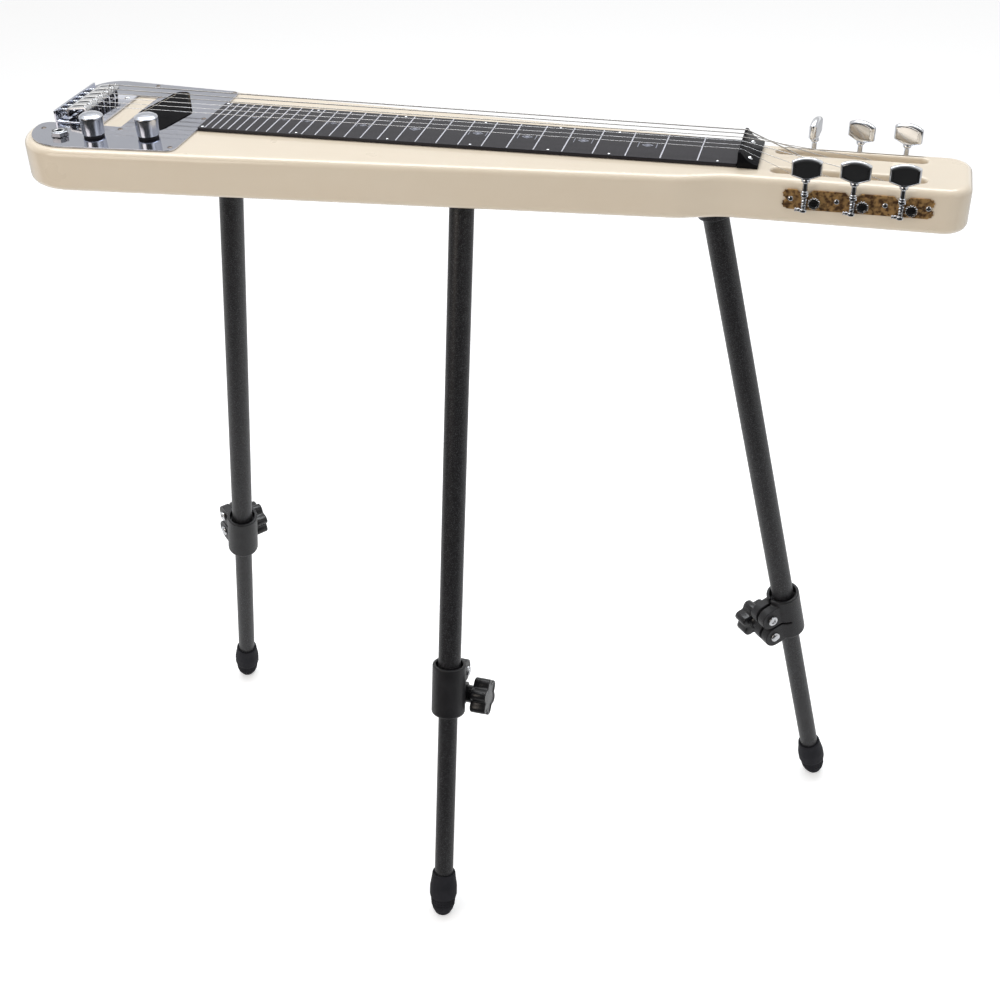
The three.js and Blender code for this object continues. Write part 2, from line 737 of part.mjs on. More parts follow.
// The plate's outline in X and Z, with a scalloped end past the outer tuners and a dip at each worm.
function tunerPlateOutline() {
  const top = tunerAxisZ + tunerPlateHalfHeight;
  const bottom = tunerAxisZ - tunerPlateHalfHeight;
  const lobeSpread = tunerPlateHalfHeight - lobeRadius;
  const startX = wormX(0) - tunerPlateMargin;
  const endX = postX(lastTuner) + tunerPlateMargin;
  const points = [];
  const lobe = (x, z, fromTurn, toTurn) => {
    for (let k = 0; k <= arcSteps; k += 1) {
      const turn = fromTurn + ((toTurn - fromTurn) * k) / arcSteps;
      points.push(new THREE.Vector2(x + lobeRadius * Math.cos(turn), z + lobeRadius * Math.sin(turn)));
    }
  };
  const quarter = Math.PI / 2;
  points.push(new THREE.Vector2(startX + lobeRadius, bottom), new THREE.Vector2(endX - lobeRadius, bottom));
  lobe(endX, tunerAxisZ - lobeSpread, -quarter, quarter * lobeSweepShare);
  lobe(endX, tunerAxisZ + lobeSpread, -quarter * lobeSweepShare, quarter);
  points.push(new THREE.Vector2(endX - lobeRadius, top));
  const mouth = plateDipHalfWidth + plateDipDepth;
  for (let k = lastTuner; k >= 0; k -= 1) {
    points.push(new THREE.Vector2(wormX(k) + mouth, top));
    points.push(new THREE.Vector2(wormX(k) + plateDipHalfWidth, top - plateDipDepth));
    points.push(new THREE.Vector2(wormX(k) - plateDipHalfWidth, top - plateDipDepth));
    points.push(new THREE.Vector2(wormX(k) - mouth, top));
  }
  points.push(new THREE.Vector2(startX + lobeRadius, top));
  lobe(startX, tunerAxisZ + lobeSpread, quarter, quarter * (2 + lobeSweepShare));
  lobe(startX, tunerAxisZ - lobeSpread, quarter * (2 - lobeSweepShare), 3 * quarter);
  return points;
}

function tunerPlateSolid(side) {
  const inner = headSideY(side) + side * seatGap;
  const outer = inner + side * tunerPlateThickness;
  const earEnd = wormY(side) + (side * bearingWidth) / 2;
  const [lowY, highY] = [Math.min(inner, earEnd), Math.max(inner, earEnd)];
  const half = bearingWidth / 2;
  const upper = wormTopZ + runGap;
  const lower = wormBottomZ - runGap;
  let sheet = upright(tunerPlateOutline(), Math.min(inner, outer), Math.max(inner, outer));
  for (let k = 0; k < tunersPerSide; k += 1) {
    const x = wormX(k);
    const upperEar = box(x - half, x + half, lowY, highY, upper, upper + bearingHeight);
    const lowerEar = box(x - half, x + half, lowY, highY, lower - bearingHeight, lower);
    const axle = (z) => [x, wormY(side), z];
    const axleHole = bore(
      axle(lower - bearingHeight - cutOver),
      axle(upper + bearingHeight + cutOver),
      axleRadius + runGap,
    );
    const post = (y) => [postX(k), y, tunerAxisZ];
    const postHole = bore(post(inner - side * cutOver), post(outer + side * cutOver), neckRadius + runGap);
    sheet = cut(join(sheet, upperEar, lowerEar), axleHole, postHole);
  }
  return sheet;
}

// A worm shaft with its button, built round its own axis and standing at the height of the worm.
function tunerButtonSolid() {
  const tail = wormBottomZ - axleTail;
  const root = wormRadius - wormThreadDepth;
  const threads = Math.floor(wormLength / wormPitch);
  const land = (wormLength - threads * wormPitch) / 2;
  const profile = [[0, tail], [axleRadius, tail], [axleRadius, wormBottomZ]];
  for (let k = 0; k < threads; k += 1) {
    const z = wormBottomZ + land + k * wormPitch;
    profile.push([root, z], [wormRadius, z + wormPitch / 2]);
  }
  profile.push([root, wormTopZ - land], [axleRadius, wormTopZ], [axleRadius, stemFootZ]);
  const stemTop = buttonFootZ + buttonBevel;
  profile.push([stemRadius, stemFootZ], [stemRadius, stemTop], [0, stemTop]);
  const grip = upright(buttonOutline(), -buttonThickness / 2, buttonThickness / 2, buttonBevel);
  return join(turned(profile, screwSides), grip);
}

// The grip's outline: a point at the stem, flared shoulders, upright sides and a crowned top.
function buttonOutline() {
  const half = buttonWidth / 2;
  const shoulderZ = buttonFootZ + buttonShoulder;
  const sideTop = buttonFootZ + buttonHeight - buttonCrown;
  const points = [[-stemRadius, buttonFootZ], [stemRadius, buttonFootZ], [half, shoulderZ]];
  const steps = 2 * arcSteps;
  for (let k = 0; k <= steps; k += 1) {
    const share = 1 - (2 * k) / steps;
    points.push([half * share, sideTop + buttonCrown * (1 - share * share)]);
  }
  points.push([-half, shoulderZ]);
  return points.map(([x, z]) => new THREE.Vector2(x, z));
}

// A string post with its toothed wheel, from the seat in the middle of the headstock outwards.
function stringPostSolid(side) {
  const at = (y) => [0, y, 0];
  const plateOuter = headSideY(side) + side * (seatGap + tunerPlateThickness);
  const shoulder = headSideY(side) - side * cutOver;
  const post = join(
    bar(at(postEndY(side)), at(shoulder), postRadius),
    bar(at(shoulder - side * neckRadius), at(wormY(side)), neckRadius, screwSides),
    bar(at(plateOuter + side * runGap), at(wormY(side)), neckRadius + 2 * runGap, screwSides),
  );
  const teeth = [];
  for (let k = 0; k < gearTeeth * 2; k += 1) {
    const radius = k % 2 === 0 ? gearRadius : gearRadius - gearToothDepth;
    const turn = (Math.PI * (k + 1 / 2)) / gearTeeth;
    teeth.push(new THREE.Vector2(radius * Math.cos(turn), radius * Math.sin(turn)));
  }
  const wheel = upright(teeth, wormY(side) - gearLength / 2, wormY(side) + gearLength / 2);
  const slotMiddle = slotCentreY + (side * slotSpread) / 2;
  const reach = postRadius + cutOver;
  const hole = bore([0, slotMiddle, -reach], [0, slotMiddle, reach], stringHoleRadius, pinSides);
  return cut(join(post, wheel), hole);
}

for (const [side, sideName] of sideNames) {
  piece(instrument, `tuner_plate_${sideName}`, tunerPlateSolid(side), brassPlate);
  for (let k = 0; k < tunersPerSide; k += 1) {
    const post = piece(instrument, `string_post_${sideName}_${k + 1}`, stringPostSolid(side), steelWire);
    post.position.set(postX(k), 0, tunerAxisZ);
    const button = piece(instrument, `tuner_button_${sideName}_${k + 1}`, tunerButtonSolid(), mirrorChrome);
    button.position.set(wormX(k), wormY(side), 0);
    button.rotation.z = THREE.MathUtils.degToRad(buttonTurnDegrees[sideName][k]);
  }
}

// Strings: each rises from its ball under the bridge, crosses its saddle and the nut, drops into
// the headstock slot, over the slot's edge where the post is far, and winds on the post.
const postOf = (index) => Math.min(index, stringCount - 1 - index);

function softened(points, reach) {
  const corners = points.map((point) => new THREE.Vector3(...point));
  const smooth = [corners[0]];
  for (let i = 1; i < corners.length - 1; i += 1) {
    const back = corners[i - 1].clone().sub(corners[i]);
    const ahead = corners[i + 1].clone().sub(corners[i]);
    const span = Math.min(reach, back.length() * bendReachShare, ahead.length() * bendReachShare);
    const start = corners[i].clone().addScaledVector(back.normalize(), span);
    const end = corners[i].clone().addScaledVector(ahead.normalize(), span);
    const bend = new THREE.QuadraticBezierCurve3(start, corners[i], end);
    smooth.push(...bend.getPoints(2));
  }
  smooth.push(corners[corners.length - 1]);
  return smooth;
}

function stringRoute(index) {
  const radius = stringRadii[index];
  const side = index < tunersPerSide ? -1 : 1;
  const post = postOf(index);
  const bridgeY = stringY(index, saddlePitch);
  const nutY = stringY(index, nutStringPitch);
  const lift = seatGap + radius;
  const coilRadius = postRadius + lift;
  const turnPitch = 2 * radius + coilGap;
  const coilWidth = stringTurns * turnPitch;
  const coilStartY = slotInnerY(side) + side * windingSetbacks[post];
  const bendX = -scaleLength - saddleSlotFront - stringSlotGap;
  const corners = [
    [anchorX, bridgeY, -ballRadius],
    [anchorX, bridgeY, bridgeTopZ],
    [bendX, bridgeY, saddleHeight + lift],
    [-scaleLength, bridgeY, saddleHeight + lift],
    [nutRidgeLength, nutY, nutTopZ + lift],
  ];
  const coilTopZ = tunerAxisZ + coilRadius;
  if (post === lastTuner) {
    const lipX = postX(post) * lipShare;
    corners.push([lipX, slotInnerY(side) + side * (lift + seatGap), lift]);
  }
  const leave = corners[corners.length - 1];
  const drop = Math.atan2(leave[2] - coilTopZ, postX(post) - leave[0]);
  const startTurn = Math.PI / 2 - drop;
  const spot = (turn, y) => [
    postX(post) + coilRadius * Math.cos(turn),
    y,
    tunerAxisZ + coilRadius * Math.sin(turn),
  ];
  const route = softened([...corners, spot(startTurn, coilStartY)], bendReach);
  const steps = Math.round(stringTurns * turnSteps);
  for (let k = 1; k <= steps; k += 1) {
    const share = k / steps;
    const turn = startTurn - 2 * Math.PI * stringTurns * share;
    route.push(new THREE.Vector3(...spot(turn, coilStartY + side * coilWidth * share)));
  }
  return route;
}

function leastTurnGap(route, radius) {
  const steps = Math.round(stringTurns * turnSteps);
  const coil = route.slice(-steps);
  let least = Infinity;
  coil.forEach((a, i) => {
    for (let j = i + turnSteps / 2; j < coil.length; j += 1) {
      least = Math.min(least, a.distanceTo(coil[j]) - 2 * radius);
    }
  });
  return least;
}

let narrowestTurnGap = Infinity;
stringRadii.forEach((radius, index) => {
  const route = stringRoute(index);
  narrowestTurnGap = Math.min(narrowestTurnGap, leastTurnGap(route, radius));
  const ball = solid(new THREE.SphereGeometry(ballRadius, pinSides, arcSteps));
  const seat = new THREE.Vector3(anchorX, stringY(index, saddlePitch), -ballRadius);
  const seated = ball.translate(seat.toArray());
  piece(instrument, `string_${index + 1}`, join(seated, wire(route, radius)), steelWire);
});
console.log(`least gap between string turns ${narrowestTurnGap.toFixed(2)} mm`);

// Legs: each is drawn straight down its own axis, turned about it, and then tilted outwards.
const legX = (index) => middleLegX + (index - 1) * legSpacing;

// A turned solid whose heights are measured down the leg from the underside of the body.
const hung = (profile) => turned(profile.map(([radius, down]) => [radius, -down]));

// A round plug or bar on the axis of the leg, between two distances down it.
const hungBar = (radius, top, end) => hung([[0, top], [radius, top], [radius, end], [0, end]]);

// The socket's flange lies flat under the body, and its boss leans with the leg.
function socketSolid(azimuth) {
  const lean = new THREE.Matrix4().makeRotationZ(azimuth);
  lean.multiply(new THREE.Matrix4().makeRotationY(-legTiltRad));
  const rise = socketRadius * Math.sin(legTiltRad);
  const boss = hungBar(socketBossRadius, 0, socketBossLength);
  const hole = hungBar(upperTubeRadius + runGap, -rise, socketBossLength + cutOver);
  const flange = bar([0, 0, -seatGap - socketFlange], [0, 0, -seatGap], socketRadius, tubeSides);
  const reach = 2 * socketRadius;
  const above = box(-reach, reach, -reach, reach, -seatGap, socketRadius);
  return cut(join(flange, boss.transform(lean.elements)), above, hole.transform(lean.elements));
}

function tubeSolid(radius, top, end) {
  const inner = radius - tubeWall;
  return hung([[inner, top], [radius, top], [radius, end], [inner, end], [inner, top]]);
}

// The collar grips the upper tube above its slit and the lower tube below it, each by a pair of ears.
function collarSolid() {
  const bandBore = upperTubeRadius + runGap;
  const clampBore = lowerTubeRadius + runGap;
  const mouth = upperTubeRadius + collarMouthGap;
  const mouthEnd = collarTop + collarMouthDepth;
  const step = upperTubeEnd + seatGap;
  const bolts = [bandBoltAt, clampBoltAt];
  let collar = hungBar(collarRadius, collarTop, collarEnd);
  for (const at of bolts) {
    const ear = bar([-earHalfSpan, earReach, -at], [earHalfSpan, earReach, -at], earRadius);
    const rootY = collarRadius - collarWall;
    const root = box(-earHalfSpan, earHalfSpan, rootY, earReach, -at - earRadius, -at + earRadius);
    collar = join(collar, ear, root);
  }
  const hollow = hung([
    [0, collarTop - cutOver],
    [mouth, collarTop - cutOver],
    [mouth, mouthEnd],
    [bandBore, mouthEnd],
    [bandBore, step],
    [clampBore, step],
    [clampBore, collarEnd + cutOver],
    [0, collarEnd + cutOver],
  ]);
  const earEnd = earReach + earRadius + cutOver;
  const outside = collarRadius + cutOver;
  const jaw = box(-earGap / 2, earGap / 2, 0, earEnd, -collarEnd - cutOver, -collarTop + cutOver);
  const slit = box(-outside, outside, 0, earEnd, -slitAt - earSlit / 2, -slitAt + earSlit / 2);
  collar = cut(collar, hollow, jaw, slit);
  const reach = earHalfSpan + cutOver;
  for (const at of bolts) {
    collar = cut(collar, bore([-reach, earReach, -at], [reach, earReach, -at], boltRadius + runGap));
  }
  return collar;
}

// A bolt across the ears with a round end on the far side from the knob.
function boltSolid(tipX) {
  const face = -earHalfSpan - seatGap;
  return join(
    bar([face - boltHeadLength, 0, 0], [face, 0, 0], boltHeadRadius),
    bar([face - boltHeadLength / 2, 0, 0], [tipX, 0, 0], boltRadius, screwSides),
  );
}

function bandBoltSolid() {
  const face = earHalfSpan + seatGap;
  const nut = bar([face, 0, 0], [face + boltHeadLength, 0, 0], boltHeadRadius, pinSides);
  return join(boltSolid(face + boltHeadLength / 2), nut);
}

function clampKnobSolid() {
  const outline = [];
  const steps = starLobes * lobeFacets;
  for (let k = 0; k < steps; k += 1) {
    const turn = (2 * Math.PI * k) / steps;
    const radius = starRadius - (starValley * (1 - Math.cos(starLobes * turn))) / 2;
    outline.push(new THREE.Vector2(radius * Math.cos(turn), radius * Math.sin(turn)));
  }
  const grip = extruded(outline, starLength, starBevel).rotateY(Math.PI / 2).translate(starStart, 0, 0);
  const hub = bar([earHalfSpan + seatGap, 0, 0], [starStart + starBevel, 0, 0], hubRadius);
  return join(boltSolid(starStart), hub, solid(grip));
}

// The rubber foot: a ferrule on the tube, a waist band, a ribbed skirt and a rounded end that is
// cut level where it stands.
function footSolid() {
  const waist = footTop + footWaistAt;
  const skirt = waist + footBandLength;
  const dome = legLength - footDomeRadius + footFlat;
  const rim = [lowerTubeRadius + footWall, footTop];
  const profile = [[0, footTop], rim, [footWaistRadius, waist], [footWaistRadius, skirt]];
  const ribPitch = (dome - skirt) / footRibs;
  for (let k = 0; k < footRibs; k += 1) {
    const start = skirt + k * ribPitch;
    const crest = THREE.MathUtils.lerp(footSkirtRadius, footDomeRadius, k / footRibs);
    profile.push([crest - footRibDepth, start + ribPitch * ribValleyShare], [crest, start + ribPitch]);
  }
  for (let k = 1; k < arcSteps; k += 1) {
    const turn = (Math.PI / 2) * (k / arcSteps);
    profile.push([footDomeRadius * Math.cos(turn), dome + footDomeRadius * Math.sin(turn)]);
  }
  profile.push([0, dome + footDomeRadius]);
  const socket = hungBar(lowerTubeRadius + seatGap, footTop - cutOver, footTop + footSocketDepth);
  const reach = 2 * footWaistRadius;
  const ground = box(-reach, reach, -reach, reach, -legReach - reach, -legReach);
  const level = new THREE.Matrix4().makeRotationY(legTiltRad);
  level.multiply(new THREE.Matrix4().makeTranslation(legReach * Math.tan(legTiltRad), 0, 0));
  return cut(hung(profile), socket, ground.transform(level.elements));
}

const upperTubeTop = seatGap / Math.cos(legTiltRad) + upperTubeRadius * Math.tan(legTiltRad);
const lowerTubeEnd = footTop + footSocketDepth - seatGap;
Object.entries(legTurnDegrees).forEach(([name, turn], index) => {
  const azimuth = THREE.MathUtils.degToRad(turn);
  const socket = piece(instrument, `${name}_leg_socket`, socketSolid(azimuth), powderBlack);
  socket.position.set(legX(index), bodyCentreY, -bodyThickness);

  const heading = new THREE.Group();
  heading.position.set(legX(index), bodyCentreY, -bodyThickness);
  heading.rotation.z = azimuth;
  instrument.add(heading);
  const leaning = new THREE.Group();
  leaning.rotation.y = -legTiltRad;
  heading.add(leaning);
  const clamp = new THREE.Group();
  clamp.rotation.z = THREE.MathUtils.degToRad(collarTurnDegrees[name]);
  leaning.add(clamp);

  piece(leaning, `${name}_upper_tube`, tubeSolid(upperTubeRadius, upperTubeTop, upperTubeEnd), powderBlack);
  piece(leaning, `${name}_lower_tube`, tubeSolid(lowerTubeRadius, lowerTubeTop, lowerTubeEnd), powderBlack);
  piece(leaning, `${name}_foot`, footSolid(), rubberBlack);
  piece(clamp, `${name}_collar`, collarSolid(), mouldedBlack);
  piece(clamp, `${name}_band_bolt`, bandBoltSolid(), zincSteel).position.set(0, earReach, -bandBoltAt);
  const star = piece(clamp, `${name}_clamp_knob`, clampKnobSolid(), mouldedBlack);
  star.position.set(0, earReach, -clampBoltAt);
});

// Stand the whole instrument on Z = 0, centred over the origin.
const extent = new THREE.Box3().setFromObject(instrument, true);
const middle = extent.getCenter(new THREE.Vector3());
instrument.position.set(-middle.x, -middle.y, -extent.min.z);

export default guitar;
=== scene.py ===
import json
import math

import bmesh
import bpy
from mathutils import Matrix, Vector


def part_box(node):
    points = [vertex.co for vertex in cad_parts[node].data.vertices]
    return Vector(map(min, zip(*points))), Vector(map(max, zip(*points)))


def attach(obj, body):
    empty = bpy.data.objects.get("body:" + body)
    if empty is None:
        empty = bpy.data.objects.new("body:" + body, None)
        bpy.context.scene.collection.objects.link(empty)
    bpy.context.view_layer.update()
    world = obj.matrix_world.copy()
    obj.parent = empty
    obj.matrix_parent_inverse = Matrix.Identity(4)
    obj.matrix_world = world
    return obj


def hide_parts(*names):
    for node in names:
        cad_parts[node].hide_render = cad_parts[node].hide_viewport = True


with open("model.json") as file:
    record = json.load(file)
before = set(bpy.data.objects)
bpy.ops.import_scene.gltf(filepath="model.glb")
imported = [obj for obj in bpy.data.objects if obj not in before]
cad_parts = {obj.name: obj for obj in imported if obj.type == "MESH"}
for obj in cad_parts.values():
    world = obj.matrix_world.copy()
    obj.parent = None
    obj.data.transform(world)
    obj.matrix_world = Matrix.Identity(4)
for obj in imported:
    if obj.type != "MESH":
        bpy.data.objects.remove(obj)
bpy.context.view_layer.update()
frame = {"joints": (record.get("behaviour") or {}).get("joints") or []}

# Camera. It stands on the player's side, left of the middle of the headstock and well above the
# strings, and looks down along the body towards the far leg.
camera_place = Vector((0.32243, -1.12343, 1.2273))
camera_right = Vector((0.9684, 0.2483, -0.0245))
camera_up = Vector((-0.1217, 0.5557, 0.8225))
camera = bpy.data.objects.new("camera", bpy.data.cameras.new("camera"))
camera.data.lens = 53.06
camera.data.clip_end = 50.0
camera_axes = Matrix((camera_right, camera_up, camera_right.cross(camera_up))).transposed()
camera.matrix_world = Matrix.Translation(camera_place) @ camera_axes.to_4x4()
bpy.context.scene.collection.objects.link(camera)
bpy.context.scene.camera = camera
bpy.context.scene.view_settings.view_transform = "Standard"


# Studio. A pale floor under a white surround, with three broad soft lamps above, in front and
# beside the head of the instrument. In reflections the floor and the room are dark towards the
# viewer, and the room is greyer above the horizon, which gives the polished metal its contrast.
class Value:
    """One output of a node. Ordinary arithmetic on it adds maths nodes."""

    def __init__(self, graph, socket):
        self.graph = graph
        self.socket = socket

    def __add__(self, other):
        return self.graph.maths("ADD", self, other)

    __radd__ = __add__

    def __sub__(self, other):
        return self.graph.maths("SUBTRACT", self, other)

    def __rsub__(self, other):
        return self.graph.maths("SUBTRACT", other, self)

    def __mul__(self, other):
        return self.graph.maths("MULTIPLY", self, other)

    __rmul__ = __mul__

    def __truediv__(self, other):
        return self.graph.maths("DIVIDE", self, other)

    def __rpow__(self, other):
        return self.graph.maths("POWER", other, self)


class Graph:
    """A node tree being built. Every node is added by node()."""

    def __init__(self, tree):
        self.tree = tree

    def node(self, kind, settings=None, inputs=None, output=0):
        made = self.tree.nodes.new(kind)
        for name, setting in (settings or {}).items():
            if name == "stops":
                for stop, (position, color) in zip(made.color_ramp.elements, setting):
                    stop.position = position
                    stop.color = color
            else:
                setattr(made, name, setting)
        for name, value in (inputs or {}).items():
            if isinstance(value, Value):
                self.tree.links.new(value.socket, made.inputs[name])
            else:
                made.inputs[name].default_value = value
        return Value(self, made.outputs[output]) if made.outputs else None

    def maths(self, operation, first, second=0.0):
        return self.node("ShaderNodeMath", {"operation": operation}, {0: first, 1: second})

    def mix(self, share, first, second):
        return self.node("ShaderNodeMix", {"data_type": "RGBA"}, {0: share, 6: first, 7: second}, 2)

    def ramp(self, value, low, high):
        clear, full = (0, 0, 0, 1), (1, 1, 1, 1)
        return self.node("ShaderNodeValToRGB", {"stops": ((low, clear), (high, full))}, {0: value})


def grey(level):
    return (level, level, level, 1.0)


room_light = 0.5
dark_side = 0.05
back_wall = 0.6
world = bpy.data.worlds.new("studio")
world.use_nodes = True
world.node_tree.nodes.clear()
room = Graph(world.node_tree)
glossy_ray = room.node("ShaderNodeLightPath", output="Is Glossy Ray")
shown = (
    room.node("ShaderNodeLightPath", output="Is Camera Ray")
    + glossy_ray
    + room.node("ShaderNodeLightPath", output="Is Transmission Ray")
)
heading = room.node("ShaderNodeTexCoord", output="Generated")
towards_viewer = 0.0 - room.node("ShaderNodeSeparateXYZ", inputs={0: heading}, output="Y")
upwards = room.node("ShaderNodeSeparateXYZ", inputs={0: heading}, output="Z")
far_band = room.ramp(upwards, 0.2, 0.3) * (1.0 - room.ramp(upwards, 0.44, 0.62)) * glossy_ray
viewer_side = room.ramp(towards_viewer, 0.05, 0.55) * glossy_ray
surround = room.mix(far_band, grey(1.0), grey(back_wall))
surround = room.mix(viewer_side, surround, grey(dark_side))
room_color = room.mix(shown, grey(room_light), surround)
room_shader = room.node("ShaderNodeBackground", inputs={"Color": room_color})
room.node("ShaderNodeOutputWorld", inputs={"Surface": room_shader})
bpy.context.scene.world = world

floor_radius = 12.0
floor_grey, floor_front_grey, floor_lift = 0.86, 0.02, 0.45
floor_mesh = bpy.data.meshes.new("floor")
floor_form = bmesh.new()
bmesh.ops.create_circle(floor_form, cap_ends=True, segments=96, radius=floor_radius)
floor_form.to_mesh(floor_mesh)
floor_form.free()
floor = bpy.data.objects.new("floor", floor_mesh)
bpy.context.scene.collection.objects.link(floor)
floor_look = bpy.data.materials.new("floor_paint")
floor_look.use_nodes = True
floor_graph = Graph(floor_look.node_tree)
floor_shader = floor_look.node_tree.nodes["Principled BSDF"]
floor_shader.inputs["Roughness"].default_value = 0.9
floor_shader.inputs["Specular IOR Level"].default_value = 0.1
floor_seen = floor_graph.node("ShaderNodeLightPath", output="Is Camera Ray")
floor_glow = floor_graph.mix(floor_seen, grey(0.0), grey(floor_lift))
floor_place = floor_graph.node("ShaderNodeTexCoord", output="Object")
floor_front = 0.0 - floor_graph.node("ShaderNodeSeparateXYZ", inputs={0: floor_place}, output="Y")
floor_mirrored = floor_graph.node("ShaderNodeLightPath", output="Is Glossy Ray")
near_viewer = floor_graph.ramp(floor_front, 0.1, 0.5) * floor_mirrored
floor_paint = floor_graph.mix(near_viewer, grey(floor_grey), grey(floor_front_grey))
floor_graph.tree.links.new(floor_paint.socket, floor_shader.inputs["Base Color"])
floor_graph.tree.links.new(floor_glow.socket, floor_shader.inputs["Emission Color"])
floor_shader.inputs["Emission Strength"].default_value = 1.0
floor_mesh.materials.append(floor_look)


def lamp(name, place, aim, width, depth, power, warmth=1.0):
    light = bpy.data.lights.new(name, "AREA")
    light.shape = "RECTANGLE"
    light.size = width
    light.size_y = depth
    light.energy = power
    light.color = (1.0, 0.5 + warmth / 2, warmth)
    lit = bpy.data.objects.new(name, light)
    turn = (Vector(aim) - Vector(place)).to_track_quat("-Z", "Y")
    lit.matrix_world = Matrix.LocRotScale(place, turn, None)
    bpy.context.scene.collection.objects.link(lit)


lamp("overhead_lamp", (-0.2, 0.55, 2.5), (0.0, 0.0, 0.75), 2.6, 1.1, 34.0, 1.08)
lamp("front_lamp", (-1.6, -2.2, 1.5), (0.0, 0.0, 0.6), 1.6, 1.6, 18.0, 0.8)
lamp("head_lamp", (2.2, -1.4, 1.6), (0.2, 0.0, 0.6), 1.2, 1.6, 6.0)


# Body. One plank of wood under cream lacquer, with the butt, the waist and the headstock in one
# piece. Its long edges are rounded over, two slots run through the headstock, and the pickup, the
# controls and the ball ends of the strings sit in pockets routed from the top.
class Finish(Graph):
    """A material. Fixed numbers are set on its shader, and what varies is linked by feed()."""

    def __init__(self, name, fixed):
        self.material = bpy.data.materials.new(name)
        self.material.use_nodes = True
        super().__init__(self.material.node_tree)
        self.shader = self.tree.nodes["Principled BSDF"]
        for socket, value in fixed.items():
            self.shader.inputs[socket].default_value = value
        self.place = self.node("ShaderNodeTexCoord", output="Object")

    def feed(self, socket, value):
        self.tree.links.new(value.socket, self.shader.inputs[socket])

    def color(self, share, low, high):
        """Feeds a base colour that runs from one to another by the share of a noise."""
        self.feed("Base Color", self.mix(share, low + (1.0,), high + (1.0,)))

    def noise(self, scale, stretch=(1.0, 1.0, 1.0), detail=3.0):
        place = self.node("ShaderNodeMapping", inputs={"Vector": self.place, "Scale": stretch})
        inputs = {"Vector": place, "Scale": scale, "Detail": detail}
        return self.node("ShaderNodeTexNoise", inputs=inputs)

    def bump(self, height, strength, depth):
        inputs = {"Height": height, "Strength": strength, "Distance": depth}
        self.feed("Normal", self.node("ShaderNodeBump", inputs=inputs))


def anticlockwise(loop):
    turn = sum(loop[i - 1].cross(point) for i, point in enumerate(loop))
    return list(loop) if turn > 0 else list(reversed(loop))


def bend(before, corner, after, radius, steps):
    """The arc that takes the place of a corner."""
    if radius == 0:
        return [corner]
    back = (before - corner).normalized()
    ahead = (after - corner).normalized()
    half = back.angle(ahead) / 2
    centre = corner + (back + ahead).normalized() * radius / math.sin(half)
    start = corner + back * radius / math.tan(half) - centre
    end = corner + ahead * radius / math.tan(half) - centre
    sweep = math.atan2(start.cross(end), start.dot(end))
    return [centre + Matrix.Rotation(sweep * k / steps, 2) @ start for k in range(steps + 1)]


def rounded(corners, radii, steps=10):
    """Rounds each corner of a closed outline with an arc of its own radius."""
    points = [Vector(corner) for corner in corners]
    loop = []
    for i, corner in enumerate(points):
        loop += bend(points[i - 1], corner, points[(i + 1) % len(points)], radii[i], steps)
    return anticlockwise(loop)


def offset(loop, distance):
    """Moves an anticlockwise outline outwards by a distance."""
    moved = []
    for i, point in enumerate(loop):
        into = (point - loop[i - 1]).normalized()
        onward = (loop[(i + 1) % len(loop)] - point).normalized()
        normal = Vector((into.y + onward.y, -into.x - onward.x)).normalized()
        moved.append(point + normal * distance / normal.dot(Vector((into.y, -into.x))))
    return moved


def eased(top, bottom, radius, steps=6):
    """Inset and height down the side of a slab whose upper and lower edges are rounded off."""
    turns = [math.pi / 2 * k / steps for k in range(steps + 1)]
    corner = [(radius * (1 - math.sin(t)), radius * (1 - math.cos(t))) for t in turns]
    inner = radius * 1.15
    upper = [(inner, top)] + [(inset, top - drop) for inset, drop in corner]
    lower = [(inset, bottom + drop) for inset, drop in reversed(corner)] + [(inner, bottom)]
    return upper + lower


def walled(form, levels):
    """Joins outlines at their heights by a wall and returns its first and its last edge loop."""
    rings = [[form.verts.new((*point, height)) for point in loop] for loop, height in levels]
    for upper, lower in zip(rings, rings[1:]):
        for i in range(len(upper)):
            form.faces.new((upper[i - 1], upper[i], lower[i], lower[i - 1]))
    ends = []
    for ring in (rings[0], rings[-1]):
        ends.append([form.edges.get((ring[i - 1], ring[i])) for i in range(len(ring))])
    return ends


def evaluated(holder):
    """The mesh of an object with its modifiers worked out, open for more work."""
    depsgraph = bpy.context.evaluated_depsgraph_get()
    result = bmesh.new()
    result.from_mesh(bpy.data.meshes.new_from_object(holder.evaluated_get(depsgraph)))
    return result


def slab(outline, rows, holes=()):
    """A flat solid with a shaped edge. Holes give an outline, rows and whether they go through."""
    form = bmesh.new()
    top, bottom = walled(form, [(offset(outline, -inset), height) for inset, height in rows])
    for loop, hole_rows, through in holes:
        upper, lower = walled(form, [(offset(loop, inset), height) for inset, height in hole_rows])
        top += upper
        if through:
            bottom += lower
        else:
            bmesh.ops.triangle_fill(form, use_beauty=True, edges=lower)
    for edges in (top, bottom):
        bmesh.ops.triangle_fill(form, use_beauty=True, edges=edges)
    bmesh.ops.recalc_face_normals(form, faces=form.faces)
    return form


def show(name, form, look, body, nodes=(), place=None, sharp=40.0):
    """Makes a finished piece of the instrument from a mesh drawn in millimetres."""
    form.transform(layout if place is None else place)
    bmesh.ops.recalc_face_normals(form, faces=form.faces)
    mesh = bpy.data.meshes.new(name)
    form.to_mesh(mesh)
    form.free()
    mesh.shade_smooth()
    mesh.set_sharp_from_angle(angle=math.radians(sharp))
    mesh.materials.append(look.material)
    piece = bpy.data.objects.new(name, mesh)
    bpy.context.scene.collection.objects.link(piece)
    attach(piece, body)
    if nodes:
        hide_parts(*nodes)
    return piece


